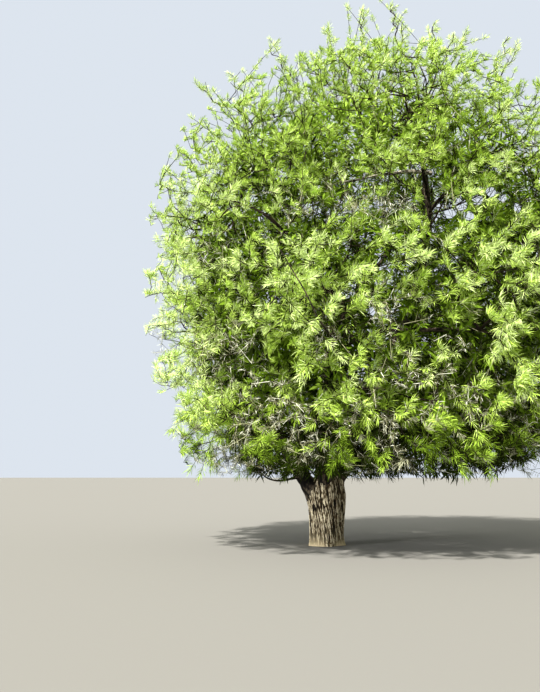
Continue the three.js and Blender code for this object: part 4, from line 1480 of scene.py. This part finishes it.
def dress_dry():
    """The dead twigs, pale and dark ones mixed, their dead stalks, and the dark leaves of the crown's heart,
    which are painted shade.
    """
    rng = np.random.default_rng(SEED + 2)
    start, end, along = grow_dry()
    r0 = np.full(len(start), DRY["thick"]) * rng.uniform(*DRY["vary"], len(start))
    points, faces, sizes = straight_links(start, end, r0, DRY["taper"] * r0)
    shade = rng.choice(3, len(start), p=DRY_SHARES)
    shade = np.where(end[:, 2] > DRY["pale_to"], np.maximum(shade, 1), shade)
    piece = make_mesh("dry_twigs", points, faces, sizes, DRY_BARK, False, np.repeat(shade, 5))
    seat(piece, every_mass())
    count = len(along)
    dress_stalks(end[:count], start[:count], along, rng)
    dress_heart(end[:count], start[:count], along, rng)


def dress_stalks(tip, back, along, rng):
    """Thin dead stalks: thick tufts of them in the outer bare patches, and a few on other dead twigs."""
    far = outness(tip)
    patch = bare(tip) & (far > DRY["patch_from"])
    some = (far > FIBRE["from_out"]) & (tip[:, 2] < FIBRE["highest"])
    some &= (rng.uniform(0, 1, len(tip)) < FIBRE["share"]) & ~patch
    parts = []
    for which, blades in ((patch, FIBRE["most"]), (some, FIBRE["blades"])):
        size = FIBRE["long"] * rng.uniform(*FIBRE["vary"], which.sum())
        lay = unit(rng.standard_normal((which.sum(), 3)) + FIBRE["onward"] * along[which])
        made = tuft_blades(tip[which], back[which], lay, size, rng, blades, FIBRE["wide"])
        parts.append(made.reshape(-1, 4, 3))
    blades = np.concatenate(parts)
    blades = blades[in_box(blades, -FIBRE["past"]).all(1)]
    deal = rng.choice(3, len(blades), p=STALK_SHARES)
    leaf_piece("dry_stalks", blades, deal, DRY_BARK, every_mass())


def dress_heart(tip, back, along, rng):
    """Broad blades on the twigs of the crown's heart, dark as painted shade inside it: deep and dark greens,
    lighter ones in its top and just over its foot where that painted shade is lighter, and only the darkest
    under 2.5 m, painted shade under the crown."""
    far = outness(tip)
    sunken = SHADE["sunken"] * rise(tip[:, 2], *SHADE["sunk"])
    shaded = (far > SHADE["inner"]) & (far < SHADE["outer"] - sunken)
    shaded &= ~(seen_in(tip, BARE) & (tip[:, 1] < 0) & (tip[:, 2] > SHADE["bare_from"]))
    tip, back, along = tip[shaded], back[shaded], along[shaded]
    n, height = len(tip), tip[:, 2]
    size = SHADE["long"] * rng.uniform(*SHADE["vary"], n)
    wide = SHADE["wide"] - SHADE["narrower"] * rise(height, *SHADE["narrow"])
    wide = wide * (SHADE["foot_wide"] + SHADE["foot_more"] * rise(height, *SHADE["foot"]))
    blades = tuft_blades(tip, back, along, size, rng, SHADE["blades"], wide[:, None, None])
    # Painted shade: deep and dark greens, lighter high up and just over the foot, the darkest low under the
    # crown.
    deal = rng.choice((DEEP, DEEP, DARK), n)
    deal = deal - (height > SHADE["lighter_from"]) - (height > SHADE["lightest_from"])
    deal = deal - ((rng.uniform(0, 1, n) < SHADE["mixed"]) & (height <= SHADE["mixed_to"]))
    even = (height > SHADE["mixed_to"]) & (height < SHADE["even_to"])
    deal = np.where(even, rng.choice((DEEP, DEEP, DARK), n), deal)
    deal = np.where(height < SHADE["darkest_to"], DARK, deal)
    deal = np.repeat(deal, SHADE["blades"])
    leaf_piece("leaves_heart_painted_shade", blades.reshape(-1, 4, 3), deal, GREENS, every_mass())


make_camera()
make_studio()
masses = place_masses()
CENTRES = np.array([mass["centre"] for mass in masses])
inner = [Limb(name, (a, b, c, d), radii) for name, a, b, c, d, radii in INNER_BOUGHS]
limbs, growths, steps = grow_tree()
dress_wood()
for region, (most, names) in REGIONS.items():
    dress_region(region, most, names)
dress_dry()
